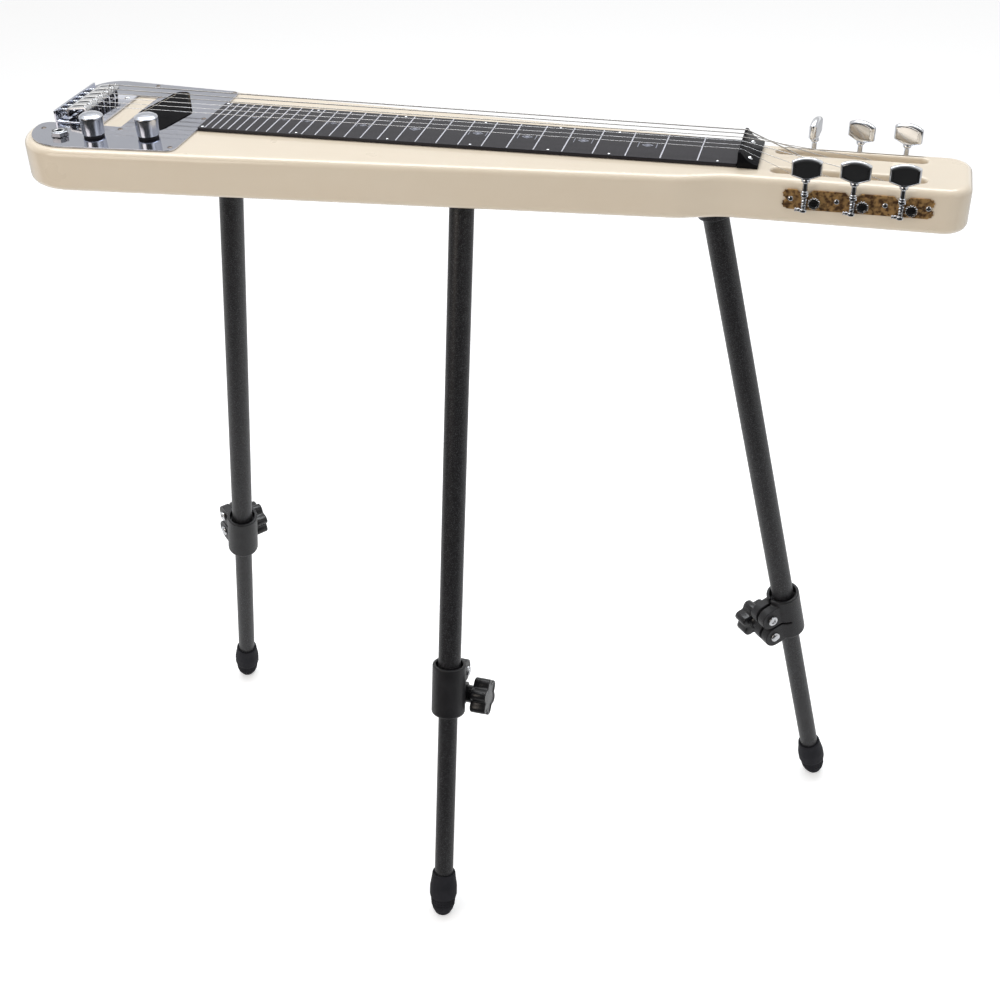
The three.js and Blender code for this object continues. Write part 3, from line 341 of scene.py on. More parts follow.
nut_low, nut_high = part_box("nut")
body_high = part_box("body")[1]
layout_origin = (nut_low.x, (nut_low.y + nut_high.y) / 2, body_high.z)
layout = Matrix.Translation(layout_origin) @ Matrix.Scale(0.001, 4)

scale_length = 571.5
body_thickness = 37.0
body_centre = -6.7
butt_end, head_end = -616.0, 182.7
butt_halves = {-1: 95.2, 1: 90.0}
neck_half, head_half = 47.5, 37.5
waist_back, waist_front = -42.0, -8.0
waist_radius = 60.0
butt_roundings = {-1: 49.0, 1: 33.0}
head_rounding = 20.0
notch_half, notch_depth, notch_lip_radius, notch_root_radius = 34.0, 13.0, 9.0, 3.0
edge_radius = 6.0
slot_back, slot_front = 27.0, 147.7
slot_width = 11.0
slot_centres = (-24.5, 16.5)
pickup_centre = Vector((-510.2, 0.9))
pickup_half_length, pickup_half_width = 72.0, 25.2
pickup_slant = math.radians(7.8)
pickup_roundings = (8.0, 12.0, 13.0, 12.0)
pickup_floor = -17.2
jack_place = Vector((-577.1, -67.3))
knob_places = {"tone": Vector((-547.5, -62.0)), "volume": Vector((-499.1, -56.0))}
cavity_half = 10.4
cavity_floor = -29.0
anchor_x, anchor_half_x, anchor_half_y = -583.0, 4.5, 30.8
anchor_floor = -6.5
pocket_edge, anchor_corner, slot_rounding = 0.4, 2.0, 2.4


def side_y(side, x):
    """The edge of the plank on one side, between the waist and the butt."""
    widening = (butt_halves[side] - neck_half) / (waist_back - butt_end)
    return body_centre + side * (neck_half + widening * (waist_back - x))


def two_sided(side_corners, steps):
    """An outline down the near side and back up the far one, from corners of x, y and rounding."""
    corners = side_corners(-1) + side_corners(1)[::-1]
    return rounded([corner[:2] for corner in corners], [corner[2] for corner in corners], steps)


def plank_corners(side):
    return [
        (head_end, body_centre + side * head_half, head_rounding),
        (waist_front, body_centre + side * head_half, waist_radius),
        (waist_back, side_y(side, waist_back), waist_radius),
        (butt_end, side_y(side, butt_end), butt_roundings[side]),
        (butt_end, side * notch_half, notch_lip_radius),
        (butt_end + notch_depth, side * notch_half, notch_root_radius),
    ]


pickup_length = Matrix.Rotation(pickup_slant, 2) @ Vector((0.0, pickup_half_length))
pickup_width = Matrix.Rotation(pickup_slant, 2) @ Vector((pickup_half_width, 0.0))
pickup_reaches = (pickup_length, -pickup_width, -pickup_length, pickup_width)
pickup_outline = rounded([pickup_centre + reach for reach in pickup_reaches], pickup_roundings)
cavity_along = (knob_places["volume"] - jack_place).normalized() * cavity_half
cavity_across = Vector((-cavity_along.y, cavity_along.x))
cavity_ends = (jack_place - cavity_along, knob_places["volume"] + cavity_along)
cavity_corners = [end - cavity_across for end in cavity_ends]
cavity_corners += [end + cavity_across for end in reversed(cavity_ends)]
cavity = rounded(cavity_corners, [cavity_half * 0.9] * 4)


def rectangle(low_x, high_x, low_y, high_y, radius):
    corners = [(low_x, low_y), (high_x, low_y), (high_x, high_y), (low_x, high_y)]
    return rounded(corners, [radius] * 4, 6)


anchor_back, anchor_front = anchor_x - anchor_half_x, anchor_x + anchor_half_x
anchor_pocket = rectangle(anchor_back, anchor_front, -anchor_half_y, anchor_half_y, anchor_corner)
pockets = []
for outline, floor_height in (
    (pickup_outline, pickup_floor),
    (cavity, cavity_floor),
    (anchor_pocket, anchor_floor),
):
    pocket_rows = [(pocket_edge, 0.0), (0.0, -pocket_edge), (0.0, floor_height)]
    pockets.append((outline, pocket_rows, False))
for centre in slot_centres:
    low, high = centre - slot_width / 2, centre + slot_width / 2
    slot_outline = rectangle(slot_back, slot_front, low, high, slot_width * 0.48)
    pockets.append((slot_outline, eased(0.0, -body_thickness, slot_rounding, 5), True))

lacquer_coat = {"Specular IOR Level": 0.3, "Coat Weight": 0.9, "Coat Roughness": 0.05}
lacquer = Finish("cream_lacquer", lacquer_coat)
grain = lacquer.noise(60.0, (0.04, 1.0, 1.0), 4.0)
mottle = lacquer.noise(26.0)
orange_peel = lacquer.noise(420.0, detail=1.0)
cream, warm_cream, pale_cream = (0.79, 0.685, 0.54, 1), (0.77, 0.66, 0.515, 1), (0.80, 0.70, 0.56, 1)
grained = lacquer.mix(lacquer.ramp(grain, 0.3, 0.7), warm_cream, cream)
lacquer.feed("Base Color", lacquer.mix(lacquer.ramp(mottle, 0.3, 0.8) * 0.6, grained, pale_cream))
lacquer.feed("Roughness", 0.24 + 0.1 * mottle)
lacquer.bump(orange_peel * 0.7 + grain * 0.3, 0.12, 0.0002)

plank = slab(
    two_sided(plank_corners, 16),
    eased(0.0, -body_thickness, edge_radius, 8),
    pockets,
)
show("lacquered_plank", plank, lacquer, "instrument", ["body"])


# Fretboard. A thin near-black board screwed on top of the plank. Its fret lines and position
# marks are let in flush, in pale grey, and the frets fall at the twelfth roots of two.
class Growth(Graph):
    """A geometry node tree with named inputs, whose result becomes a plain mesh."""

    def __init__(self, name, **labels):
        super().__init__(bpy.data.node_groups.new(name, "GeometryNodeTree"))
        for kind, named in {"Geometry": ("Base",), "Material": ("Finish",), **labels}.items():
            for label in named:
                socket = "NodeSocket" + kind
                self.tree.interface.new_socket(label, in_out="INPUT", socket_type=socket)
        self.tree.interface.new_socket("Mesh", in_out="OUTPUT", socket_type="NodeSocketGeometry")

    def given(self, label):
        return self.node("NodeGroupInput", output=label)

    def named(self, name, kind):
        return self.node("GeometryNodeInputNamedAttribute", {"data_type": kind}, {"Name": name})

    def aimed(self):
        """The turn that brings Z to the way each point faces."""
        facing = {"Vector": self.named("facing", "FLOAT_VECTOR")}
        return self.node("FunctionNodeAlignRotationToVector", {"axis": "Z"}, facing)

    def finish(self, points, copy, **placing):
        """Sets a copy on each point and gives the real mesh its material."""
        inputs = {"Points": points, "Instance": copy, **placing}
        copies = self.node("GeometryNodeInstanceOnPoints", inputs=inputs)
        real = self.node("GeometryNodeRealizeInstances", inputs={"Geometry": copies})
        inputs = {"Geometry": real, "Material": self.given("Finish")}
        coated = self.node("GeometryNodeSetMaterial", inputs=inputs)
        self.node("NodeGroupOutput", inputs={"Mesh": coated})

    def grow(self, settings, base=None):
        holder = bpy.data.objects.new("growth", base or bpy.data.meshes.new("seedbed"))
        bpy.context.scene.collection.objects.link(holder)
        modifier = holder.modifiers.new("growth", "NODES")
        modifier.node_group = self.tree
        for item in self.tree.interface.items_tree:
            if item.in_out == "INPUT" and item.name in settings:
                modifier[item.identifier] = settings[item.name]
        form = evaluated(holder)
        holder.modifiers.remove(modifier)
        bpy.data.objects.remove(holder)
        return form


board_top, board_bottom = 3.3, 0.3
board_start, board_end = -0.3, -464.7
board_half_start, board_half_end = 26.3, 31.9
board_corner, board_edge = 1.0, 0.5
fret_count = 28
fret_width, fret_proud, fret_inset = 1.0, 0.12, 1.2


def board_half(x):
    share = (board_start - x) / (board_start - board_end)
    return board_half_start + (board_half_end - board_half_start) * share


def fret_x(number):
    return -scale_length * (1 - 0.5 ** (number / 12))


board_look = Finish("fretboard_black", {"Specular IOR Level": 0.24})
streak = board_look.noise(160.0, (0.03, 1.0, 1.0), 4.0)
fleck = board_look.noise(900.0)
board_look.color(streak, (0.008, 0.007, 0.010), (0.022, 0.020, 0.026))
board_look.feed("Roughness", 0.26 + 0.14 * fleck)
board_look.bump(streak * 0.7 + fleck * 0.3, 0.1, 0.0002)
board_corners = [(board_start, -board_half_start), (board_start, board_half_start)]
board_corners += [(board_end, board_half_end), (board_end, -board_half_end)]
board_outline = rounded(board_corners, [board_corner] * 4, 4)
board = slab(board_outline, eased(board_top, board_bottom, board_edge, 3))
show("fret_board", board, board_look, "instrument", ["fretboard"])

line_look = Finish("fret_line_grey", {"Roughness": 0.35})
line_wear = line_look.noise(240.0, (1.0, 0.25, 1.0))
line_look.color(line_wear, (0.50, 0.50, 0.56), (0.74, 0.74, 0.80))
fret_lines = Growth(
    "fret_lines",
    Int=("Count",),
    Float=("Scale Length", "Nut Half", "Taper", "Height"),
    Vector=("Line Size",),
)
fret_number = fret_lines.node("GeometryNodeInputIndex") + 1.0
fret_place = (0.5 ** (fret_number / 12.0) - 1.0) * fret_lines.given("Scale Length")
fret_span = 2.0 * (fret_lines.given("Nut Half") - fret_place * fret_lines.given("Taper"))
fret_points = fret_lines.node("GeometryNodeMeshLine", inputs={"Count": fret_lines.given("Count")})
fret_spot = {"X": fret_place, "Z": fret_lines.given("Height")}
fret_spot = fret_lines.node("ShaderNodeCombineXYZ", inputs=fret_spot)
fret_points = fret_lines.node("GeometryNodeSetPosition", inputs={0: fret_points, "Position": fret_spot})
fret_bar = fret_lines.node("GeometryNodeMeshCube", inputs={"Size": fret_lines.given("Line Size")})
fret_scale = fret_lines.node("ShaderNodeCombineXYZ", inputs={"X": 1.0, "Y": fret_span, "Z": 1.0})
fret_lines.finish(fret_points, fret_bar, Scale=fret_scale)
frets = fret_lines.grow(
    {
        "Scale Length": scale_length,
        "Count": fret_count,
        "Line Size": (fret_width, 1.0, 2 * fret_proud),
        "Nut Half": board_half_start - fret_inset,
        "Taper": (board_half_end - board_half_start) / (board_start - board_end),
        "Height": board_top,
        "Finish": line_look.material,
    }
)
show("fret_lines", frets, line_look, "instrument")

mark_look = Finish("position_mark_grey", {"Roughness": 0.3, "Coat Weight": 0.4})
mark_cloud = mark_look.noise(500.0)
mark_look.color(mark_cloud, (0.16, 0.17, 0.22), (0.42, 0.44, 0.52))
mark_spaces = (3, 5, 7, 9, 12, 15, 17, 19, 21, 24)
mark_bar_width, mark_bar_gap, mark_height = 0.6, 7.6, 10.5
full_mark_space, octave_mark_scale = 20.0, 1.3
diamond_half_x, diamond_half_y, diamond_radius = 5.0, 3.6, 0.6
diamond_core, diamond_wall = 0.45, 0.7


def joined(*parts):
    """Brings several meshes under construction together. A pair names a part and its place."""
    whole = bmesh.new()
    for part in parts:
        if isinstance(part, tuple):
            part, place = part
            part.transform(place)
        held = bpy.data.meshes.new("part")
        part.to_mesh(held)
        part.free()
        whole.from_mesh(held)
        bpy.data.meshes.remove(held)
    return whole


marks = []
for space in mark_spaces:
    middle = (fret_x(space - 1) + fret_x(space)) / 2
    room_between = fret_x(space - 1) - fret_x(space)
    size = min(1.0, room_between / full_mark_space) * (octave_mark_scale if space % 12 == 0 else 1.0)
    place = Matrix.Translation((middle, 0.0, board_top)) @ Matrix.Scale(size, 4)
    rows = [(0.0, fret_proud / 2), (0.0, -fret_proud)]
    for side in (-1, 1):
        bar_middle = side * mark_bar_gap
        shares = ((-0.5, -0.5), (0.5, -0.5), (0.5, 0.5), (-0.5, 0.5))
        bar = [Vector((bar_middle + x * mark_bar_width, y * mark_height)) for x, y in shares]
        marks.append((slab(bar, rows), place))
    for scale_share, hollow in ((1.0, True), (diamond_core, False)):
        along, across = diamond_half_x * scale_share, diamond_half_y * scale_share
        corners = [(along, 0), (0, across), (-along, 0), (0, -across)]
        diamond = rounded(corners, [diamond_radius * scale_share] * 4, 3)
        holes = [(offset(diamond, -diamond_wall), rows, True)] if hollow else []
        marks.append((slab(diamond, rows, holes), place))
show("position_marks", joined(*marks), mark_look, "instrument")

# Nut. A tall gloss-black moulding that lifts the strings well clear of the board. It rises to a
# thin ridge at the scale end and is hollowed behind, where two bright cone-headed screws hold it.
nut_length, nut_half = 16.6, 27.5
nut_foot, nut_toe, nut_top = 0.3, 3.5, 13.5
nut_ridge, nut_edge = 2.2, 0.45
nut_screws = ((9.4, -19.0), (8.2, 13.5))
nut_screw_way, nut_screw_size, nut_screw_rise = (0.55, 0.0, 1.0), 2.3, 0.3


def stood(form, middle=0.0):
    """Turns a slab drawn in X and Z upright, with its thickness along Y."""
    form.transform(Matrix.Translation((0.0, middle, 0.0)) @ Matrix.Rotation(math.pi / 2, 4, "X"))
    return form


def turned(profile, segments=48, closed=False):
    """Turns a profile of radius and height pairs about the vertical axis."""
    form = bmesh.new()
    rings = []
    for radius, height in profile:
        if radius == 0:
            rings.append([form.verts.new((0.0, 0.0, height))] * segments)
            continue
        turns = [2 * math.pi * k / segments for k in range(segments)]
        spots = [(radius * math.cos(turn), radius * math.sin(turn), height) for turn in turns]
        rings.append([form.verts.new(spot) for spot in spots])
    pairs = list(zip(rings, rings[1:]))
    if closed:
        pairs.append((rings[-1], rings[0]))
    for low, high in pairs:
        for k in range(segments):
            around = (low[k - 1], low[k], high[k], high[k - 1])
            corners = [spot for i, spot in enumerate(around) if spot not in around[:i]]
            form.faces.new(corners)
    return form


def softened(points, radii, steps=4):
    """Rounds the inner corners of an open profile and keeps its two ends."""
    spots = [Vector(point) for point in points]
    line = [spots[0]]
    for i in range(1, len(spots) - 1):
        line += bend(spots[i - 1], spots[i], spots[i + 1], radii[i - 1], steps)
    return line + [spots[-1]]


gloss_black = Finish("gloss_black", {"IOR": 1.1, "Coat Roughness": 0.05})
gloss_cloud = gloss_black.noise(90.0)
gloss_dust = gloss_black.noise(1400.0, detail=1.0)
gloss_black.color(gloss_cloud, (0.004, 0.004, 0.005), (0.010, 0.010, 0.012))
gloss_black.feed("Roughness", 0.10 + 0.10 * gloss_dust)
gloss_black.feed("Coat Weight", 0.02 + 0.05 * gloss_cloud)
gloss_black.bump(gloss_cloud * 0.9 + gloss_dust * 0.1, 0.05, 0.0004)

hollow_steps = 18
nut_profile = [(0.0, nut_foot), (nut_length, nut_foot), (nut_length, nut_toe)]
for k in range(1, hollow_steps + 1):
    share = k / hollow_steps
    back = nut_length - (nut_length - nut_ridge) * share
    nut_profile.append((back, nut_toe + (nut_top - nut_toe) * share * share))
nut_profile.append((0.0, nut_top))
nut_corner_radii = [0.4, 0.4, 0.4] + [0.0] * (hollow_steps - 1) + [0.5, 0.5]
nut_outline = rounded(nut_profile, nut_corner_radii, 3)
nut = stood(slab(nut_outline, eased(nut_half, -nut_half, nut_edge, 3)))
show("ridged_nut", nut, gloss_black, "instrument", ["nut"])

chrome = Finish("bright_chrome", {"Metallic": 1.0, "Base Color": (0.72, 0.74, 0.77, 1.0)})
chrome_haze = chrome.noise(130.0)
chrome_grain = chrome.noise(2600.0, detail=1.0)
chrome.color(chrome_haze, (0.66, 0.68, 0.72), (0.80, 0.81, 0.83))
chrome.feed("Roughness", 0.05 + 0.09 * chrome_haze)
chrome.bump(chrome_grain, 0.03, 0.0001)


def carved(form, tools, operation="DIFFERENCE"):
    """Cuts one closed mesh with others, or joins them all into one skin."""
    held = []
    for part in (form, *tools):
        bmesh.ops.recalc_face_normals(part, faces=part.faces)
        mesh = bpy.data.meshes.new("part")
        part.to_mesh(mesh)
        part.free()
        holder = bpy.data.objects.new("part", mesh)
        bpy.context.scene.collection.objects.link(holder)
        held.append(holder)
    for tool in held[1:]:
        cut = held[0].modifiers.new("cut", "BOOLEAN")
        cut.operation = operation
        cut.solver = "EXACT"
        cut.object = tool
    result = evaluated(held[0])
    for holder in held:
        bpy.data.objects.remove(holder)
    return result


def box_form(low, high, radius):
    """A block with rounded upright corners between two opposite corners."""
    outline = rectangle(low[0], high[0], low[1], high[1], radius)
    return slab(outline, [(0.0, high[2]), (0.0, low[2])])


def screw_head(profile, cross_half, cross_width, cross_depth):
    """A screw head of unit radius with a cross cut into its top."""
    head = turned(profile, 32)
    top = max(height for _, height in profile)
    cutters = []
    for turn in (0.0, math.pi / 2):
        low = (-cross_half, -cross_width / 2, top - cross_depth)
        cutter = box_form(low, (cross_half, cross_width / 2, top + 1.0), cross_width * 0.3)
        cutter.transform(Matrix.Rotation(turn, 4, "Z"))
        cutters.append(cutter)
    return carved(head, cutters)


def mesh_object(name, form):
    """A pattern piece for a geometry node tree, removed when the tree has grown."""
    mesh = bpy.data.meshes.new(name)
    form.to_mesh(mesh)
    form.free()
    mesh.shade_smooth()
    pattern = bpy.data.objects.new(name, mesh)
    bpy.context.scene.collection.objects.link(pattern)
    return pattern


def pinned(places):
    """A mesh of loose points, each with the way it faces and its size."""
    mesh = bpy.data.meshes.new("pins")
    mesh.from_pydata([place for place, _, _ in places], [], [])
    facing = mesh.attributes.new("facing", "FLOAT_VECTOR", "POINT")
    facing.data.foreach_set("vector", [part for _, way, _ in places for part in way])
    size = mesh.attributes.new("size", "FLOAT", "POINT")
    size.data.foreach_set("value", [size for _, _, size in places])
    return mesh


fasteners = Growth("fasteners", Object=("Pattern",), Int=("Seed",), Float=("Spin",))
pin_seed = {"Seed": fasteners.given("Seed")}
pin_chance = fasteners.node("FunctionNodeRandomValue", inputs=pin_seed, output=1)
pin_angle = pin_chance * fasteners.given("Spin")
pin_spin = fasteners.node("FunctionNodeAxisAngleToRotation", inputs={"Angle": pin_angle})
pin_turns = {"Rotation": fasteners.aimed(), "Rotate By": pin_spin}
pin_turn = fasteners.node("FunctionNodeRotateRotation", {"rotation_space": "LOCAL"}, pin_turns)
pin_source = {"Object": fasteners.given("Pattern")}
pin_pattern = fasteners.node("GeometryNodeObjectInfo", inputs=pin_source, output="Geometry")
pin_size = fasteners.named("size", "FLOAT")
fasteners.finish(fasteners.given("Base"), pin_pattern, Rotation=pin_turn, Scale=pin_size)


def fasten(name, pattern, places, look, seed, spin=math.pi):
    """Sets one pattern piece at each place and makes the lot one piece of the instrument."""
    settings = {"Pattern": pattern, "Seed": seed, "Spin": spin, "Finish": look.material}
    grown = fasteners.grow(settings, pinned(places))
    return show(name, grown, look, "instrument")


pan_profile = [(0, 0.46), (0.35, 0.44), (0.68, 0.34), (0.9, 0.18), (0.98, 0.04), (0.98, -0.1), (0, -0.1)]
cone_profile = [(0, 0.5), (0.16, 0.48), (0.3, 0.4), (0.62, 0.12), (0.95, 0), (1.0, -0.16), (0, -0.16)]
pan_screw = mesh_object("pan_screw", screw_head(pan_profile, 0.56, 0.2, 0.3))
cone_screw = mesh_object("cone_screw", turned(cone_profile, 32))
up = (0.0, 0.0, 1.0)
nut_screw_places = []
for x, y in nut_screws:
    depth = (nut_length - x) / (nut_length - nut_ridge)
    hollow = nut_toe + (nut_top - nut_toe) * depth * depth
    nut_screw_places.append(((x, y, hollow + nut_screw_rise), nut_screw_way, nut_screw_size))
fasten("nut_screws", cone_screw, nut_screw_places, chrome, 1)

board_screw_spaces = (1, 4, 6, 9, 13, 19)
board_screw_inset, end_screw_inset = 3.2, 3.5
board_screws = [((fret_x(space - 1) + fret_x(space)) / 2, 1.25) for space in board_screw_spaces]
board_screw_places = []
for x, size in [*board_screws, (board_end + end_screw_inset, 1.5)]:
    for side in (-1, 1):
        y = side * (board_half(x) - board_screw_inset)
        board_screw_places.append(((x, y, board_top), up, size))
fasten("board_screws", pan_screw, board_screw_places, chrome, 2)


# Control plate. A sheet of polished steel follows the outline of the butt. It is open round the
# bridge, cut to the pickup, drilled for the controls and the jack, and held by small pan screws.
plate_top, plate_bottom = 1.5, 0.3
plate_front, plate_inset, plate_front_corner = -465.0, 7.0, 8.0
plate_back = butt_end + plate_inset
window_front, window_half, window_corner, plate_lip_radius = -534.0, 38.5, 1.0, 9.0
bush_hole, jack_hole = 3.9, 5.1
plate_screws = [(-470.0, -6.2), (-470.5, -75.2), (-469.6, 61.9), (-547.7, 66.2), (-600.6, -53.2)]
plate_screws += [(-532.2, -43.5), (-532.4, 38.0)]


def plate_corners(side):
    return [
        (plate_front, side_y(side, plate_front) - side * plate_inset, plate_front_corner),
        (plate_back, side_y(side, plate_back) - side * plate_inset, butt_roundings[side] - plate_inset),
        (plate_back, side * window_half, plate_lip_radius),
        (window_front, side * window_half, window_corner),
    ]


def circle(place, radius, sides=32):
    turns = [2 * math.pi * k / sides for k in range(sides)]
    return [Vector(place) + radius * Vector((math.cos(turn), math.sin(turn))) for turn in turns]


mirror = Finish("mirror_steel", {"Metallic": 1.0})
mirror_haze = mirror.noise(45.0)
mirror_scratch = mirror.noise(700.0, (0.06, 1.0, 1.0), 4.0)
mirror.color(mirror_haze, (0.56, 0.58, 0.66), (0.64, 0.66, 0.73))
mirror.feed("Roughness", 0.03 + 0.05 * mirror_haze + 0.05 * mirror_scratch)
mirror.bump(mirror_scratch * 0.5 + mirror_haze * 0.5, 0.02, 0.0003)

plate_rows = eased(plate_top, plate_bottom, 0.12, 2)
plate_holes = [(pickup_outline, plate_rows, True)]
plate_holes.append((circle(jack_place, jack_hole), plate_rows, True))
for place in knob_places.values():
    plate_holes.append((circle(place, bush_hole), plate_rows, True))
plate = slab(two_sided(plate_corners, 16), plate_rows, plate_holes)
show("polished_plate", plate, mirror, "instrument", ["control_plate"])
worn_screw = Finish("worn_screw_steel", {"Metallic": 1.0})
screw_stain = worn_screw.noise(420.0, detail=4.0)
worn_screw.color(screw_stain, (0.03, 0.025, 0.02), (0.34, 0.29, 0.26))
worn_screw.feed("Roughness", 0.24 + 0.2 * screw_stain)
screw_sink = 0.4
plate_screw_places = [((x, y, plate_top - screw_sink), up, 2.5) for x, y in plate_screws]
fasten("plate_screws", pan_screw, plate_screw_places, worn_screw, 3)


# Bridge. A chromed steel plate with its back edge bent up. Six long screws with springs pass
# through the wall and pull on the saddles, which sets the length of each string.
bridge_front, bridge_back = -554.0, -598.0
bridge_half, bridge_top, bridge_wall_top = 37.5, 2.3, 11.5
bridge_sheet = 2.0
saddle_pitch = 10.5
screw_height, screw_tip = 8.0, -583.0
thread_radius, thread_pitch = 1.25, 0.7
head_radius, head_length = 2.4, 2.2
bridge_screw_x, bridge_screw_y = -561.0, 29.5
spring_end = -590.0

bridge_corners = [
    (bridge_front, plate_bottom), (bridge_front, bridge_top),
    (bridge_back + bridge_sheet, bridge_top), (bridge_back + bridge_sheet, bridge_wall_top),
    (bridge_back, bridge_wall_top), (bridge_back, plate_bottom),
]
bridge_outline = rounded(bridge_corners, [0.4, 0.4, 0.9, 0.6, 0.6, 2.4], 5)
bridge_parts = [stood(slab(bridge_outline, eased(bridge_half, -bridge_half, 0.4, 3)))]


def threaded(radius, low, high, pitch, depth=0.16):
    """A threaded rod, drawn as a stack of close ridges."""
    count = int((high - low) / pitch)
    profile = [(0.0, low), (radius - depth, low)]
    for k in range(count):
        foot = low + (high - low) * k / count
        profile += [(radius - depth, foot + 0.1 * pitch), (radius, foot + 0.5 * pitch)]
    return turned(profile + [(radius - depth, high), (0.0, high)], 24)


def string_y(index, pitch):
    return (index - 2.5) * pitch


along_strings = Matrix.Rotation(math.pi / 2, 4, "Y")
bridge_head_places = []
for k in range(6):
    spot = Matrix.Translation((0.0, string_y(k, saddle_pitch), screw_height))
    long_screw = threaded(thread_radius, bridge_back, screw_tip, thread_pitch)
    bridge_parts.append((long_screw, spot @ along_strings))
    collar_profile = [(0.0, 0.0), (head_radius * 0.99, 0.0), (head_radius * 0.99, -head_length * 0.7)]
    collar = turned(collar_profile + [(0.0, -head_length * 0.7)], 32)
    bridge_parts.append((collar, Matrix.Translation((bridge_back, 0, 0)) @ spot @ along_strings))
    place = (bridge_back - head_length * 0.68, string_y(k, saddle_pitch), screw_height)
    bridge_head_places.append((place, (-1.0, 0.0, 0.0), head_radius))
bridge_form = joined(*bridge_parts)
show("bridge_plate_bent", bridge_form, mirror, "instrument", ["bridge_plate"])
fasten("intonation_heads", pan_screw, bridge_head_places, chrome, 4)
bridge_screw_places = [
    ((bridge_screw_x, side * bridge_screw_y, bridge_top), up, 2.6) for side in (-1, 1)
]
fasten("bridge_screws", pan_screw, bridge_screw_places, chrome, 5)

springs = Growth("springs", Float=("Turns", "Radius", "Length", "Wire"))
spring_path = springs.node(
    "GeometryNodeCurveSpiral",
    inputs={
        "Resolution": 20,
        "Rotations": springs.given("Turns"),
        "Start Radius": springs.given("Radius"),
        "End Radius": springs.given("Radius"),
        "Height": springs.given("Length"),
    },
)
spring_wire = springs.node(
    "GeometryNodeCurvePrimitiveCircle", inputs={"Resolution": 8, "Radius": springs.given("Wire")}
)
spring_sweep = {"Curve": spring_path, "Profile Curve": spring_wire, "Fill Caps": True}
spring_mesh = springs.node("GeometryNodeCurveToMesh", inputs=spring_sweep)
springs.finish(springs.given("Base"), spring_mesh, Rotation=springs.aimed())
spring_start = bridge_back + bridge_sheet + 0.3
spring_places = [
    ((spring_start, string_y(k, saddle_pitch), screw_height), (1.0, 0.0, 0.0), 1.0) for k in range(6)
]
spring_settings = {
    "Turns": 6.0,
    "Radius": 1.85,
    "Length": spring_end - spring_start,
    "Wire": 0.28,
    "Finish": chrome.material,
}
spring_form = springs.grow(spring_settings, pinned(spring_places))
show("saddle_springs", spring_form, chrome, "instrument")


# Saddles. Six pieces of bent and chromed sheet, one under each string. Each is slotted for its
# string, pulled by its long screw, and stands on two small grub screws that set its height.
saddle_half, saddle_edge = 5.0, 0.4
saddle_outside = [(-17, 4.2), (-17, 12), (-2.2, 13.7), (0, 14), (2, 13.1), (3, 11.3), (3, 9.5)]
saddle_inside = [(1.2, 9.5), (1.2, 10.4), (0, 12.2), (-2.2, 11.9), (-15.2, 10.2), (-15.2, 4.2)]
saddle_bends = [0.3, 2.0, 1.0, 1.0, 0.9, 0.8, 0.3, 0.3, 0.3, 0.5, 0.5, 0.8, 0.3]
saddle_slot, saddle_slot_corner = (-13.4, -2.1, -1.5, 1.5), 1.4
tab_bore = (1.5, -20.0, -13.0)
grub_profile = [(0, 13.9), (0.62, 13.9), (0.62, 14.7), (0.95, 14.7), (1.2, 14.45), (1.2, 2.9)]
grub_profile += [(0.9, 2.7), (0, 2.7)]
grub_spread = 3.2
saddle_outline = rounded(saddle_outside + saddle_inside, saddle_bends, 5)
# Painted shade: each saddle's colour runs by height from near-black at its foot by the plank to bright
# chrome at its top.
painted_shade_foot, painted_shade_rise = body_high.z + 0.006, 0.0085
saddle_chrome = Finish("saddle_chrome", {"Metallic": 1.0})
saddle_height = saddle_chrome.node("ShaderNodeSeparateXYZ", inputs={0: saddle_chrome.place}, output="Z")
saddle_lit_share = saddle_chrome.ramp((saddle_height - painted_shade_foot) / painted_shade_rise, 0.15, 0.95)
saddle_haze = saddle_chrome.noise(600.0)
unshaded_saddle_colour = saddle_chrome.mix(saddle_haze, (0.74, 0.75, 0.77, 1), (0.88, 0.89, 0.90, 1))
saddle_chrome.feed("Base Color", saddle_chrome.mix(saddle_lit_share, (0.07, 0.07, 0.075, 1), unshaded_saddle_colour))
saddle_chrome.feed("Roughness", 0.07 + 0.1 * saddle_haze)
saddle_chrome.bump(saddle_haze, 0.03, 0.0001)


def rod(radius, low, high):
    """The profile of a plain round rod."""
    return [(0, low), (radius, low), (radius, high), (0, high)]


tab_hole = turned(rod(*tab_bore), 24)
tab_hole.transform(Matrix.Translation((0, 0, screw_height)) @ along_strings)
saddle_form = carved(
    stood(slab(saddle_outline, eased(saddle_half, -saddle_half, saddle_edge, 4))),
    [slab(rectangle(*saddle_slot, saddle_slot_corner), [(0, 18.0), (0, 7.0)]), tab_hole],
)
saddle_parts = [saddle_form]
for side in (-1, 1):
    saddle_parts.append((turned(grub_profile, 24), Matrix.Translation((0, side * grub_spread, 0))))
saddle_pattern = joined(*saddle_parts)
for k in range(6):
    saddle = saddle_pattern.copy()
    place = layout @ Matrix.Translation((-scale_length, string_y(k, saddle_pitch), 0))
    node = f"saddle_{k + 1}"
    show(node + "_bent_sheet", saddle, saddle_chrome, node, [node], place, 30.0)
saddle_pattern.free()


# Strings. Three are plain steel wire and three are wound with finer wire. Each rises from its ball
# under the bridge, bends over its saddle and the nut, and drops into the headstock to its post.
string_radii = (0.2, 0.22, 0.26, 0.34, 0.42, 0.52)
plain_strings = 3
nut_pitch = 8.4
saddle_top, saddle_bend_reach, saddle_bend_drop = 14.0, 3.9, 0.25
ball_radius, ball_half = 1.95, 1.7
string_rest = 0.06
post_radius, post_height = 3.2, -14.8
first_post, post_pitch = 64.0, 37.1
head_slot_inner = (-19.0, 11.0)
winding_setbacks = (6.0, 7.0, 3.0)
winding_turns, winding_gap = 2, 0.45
slot_lip_share = 0.7


def post_x(index):
    return first_post + post_pitch * index


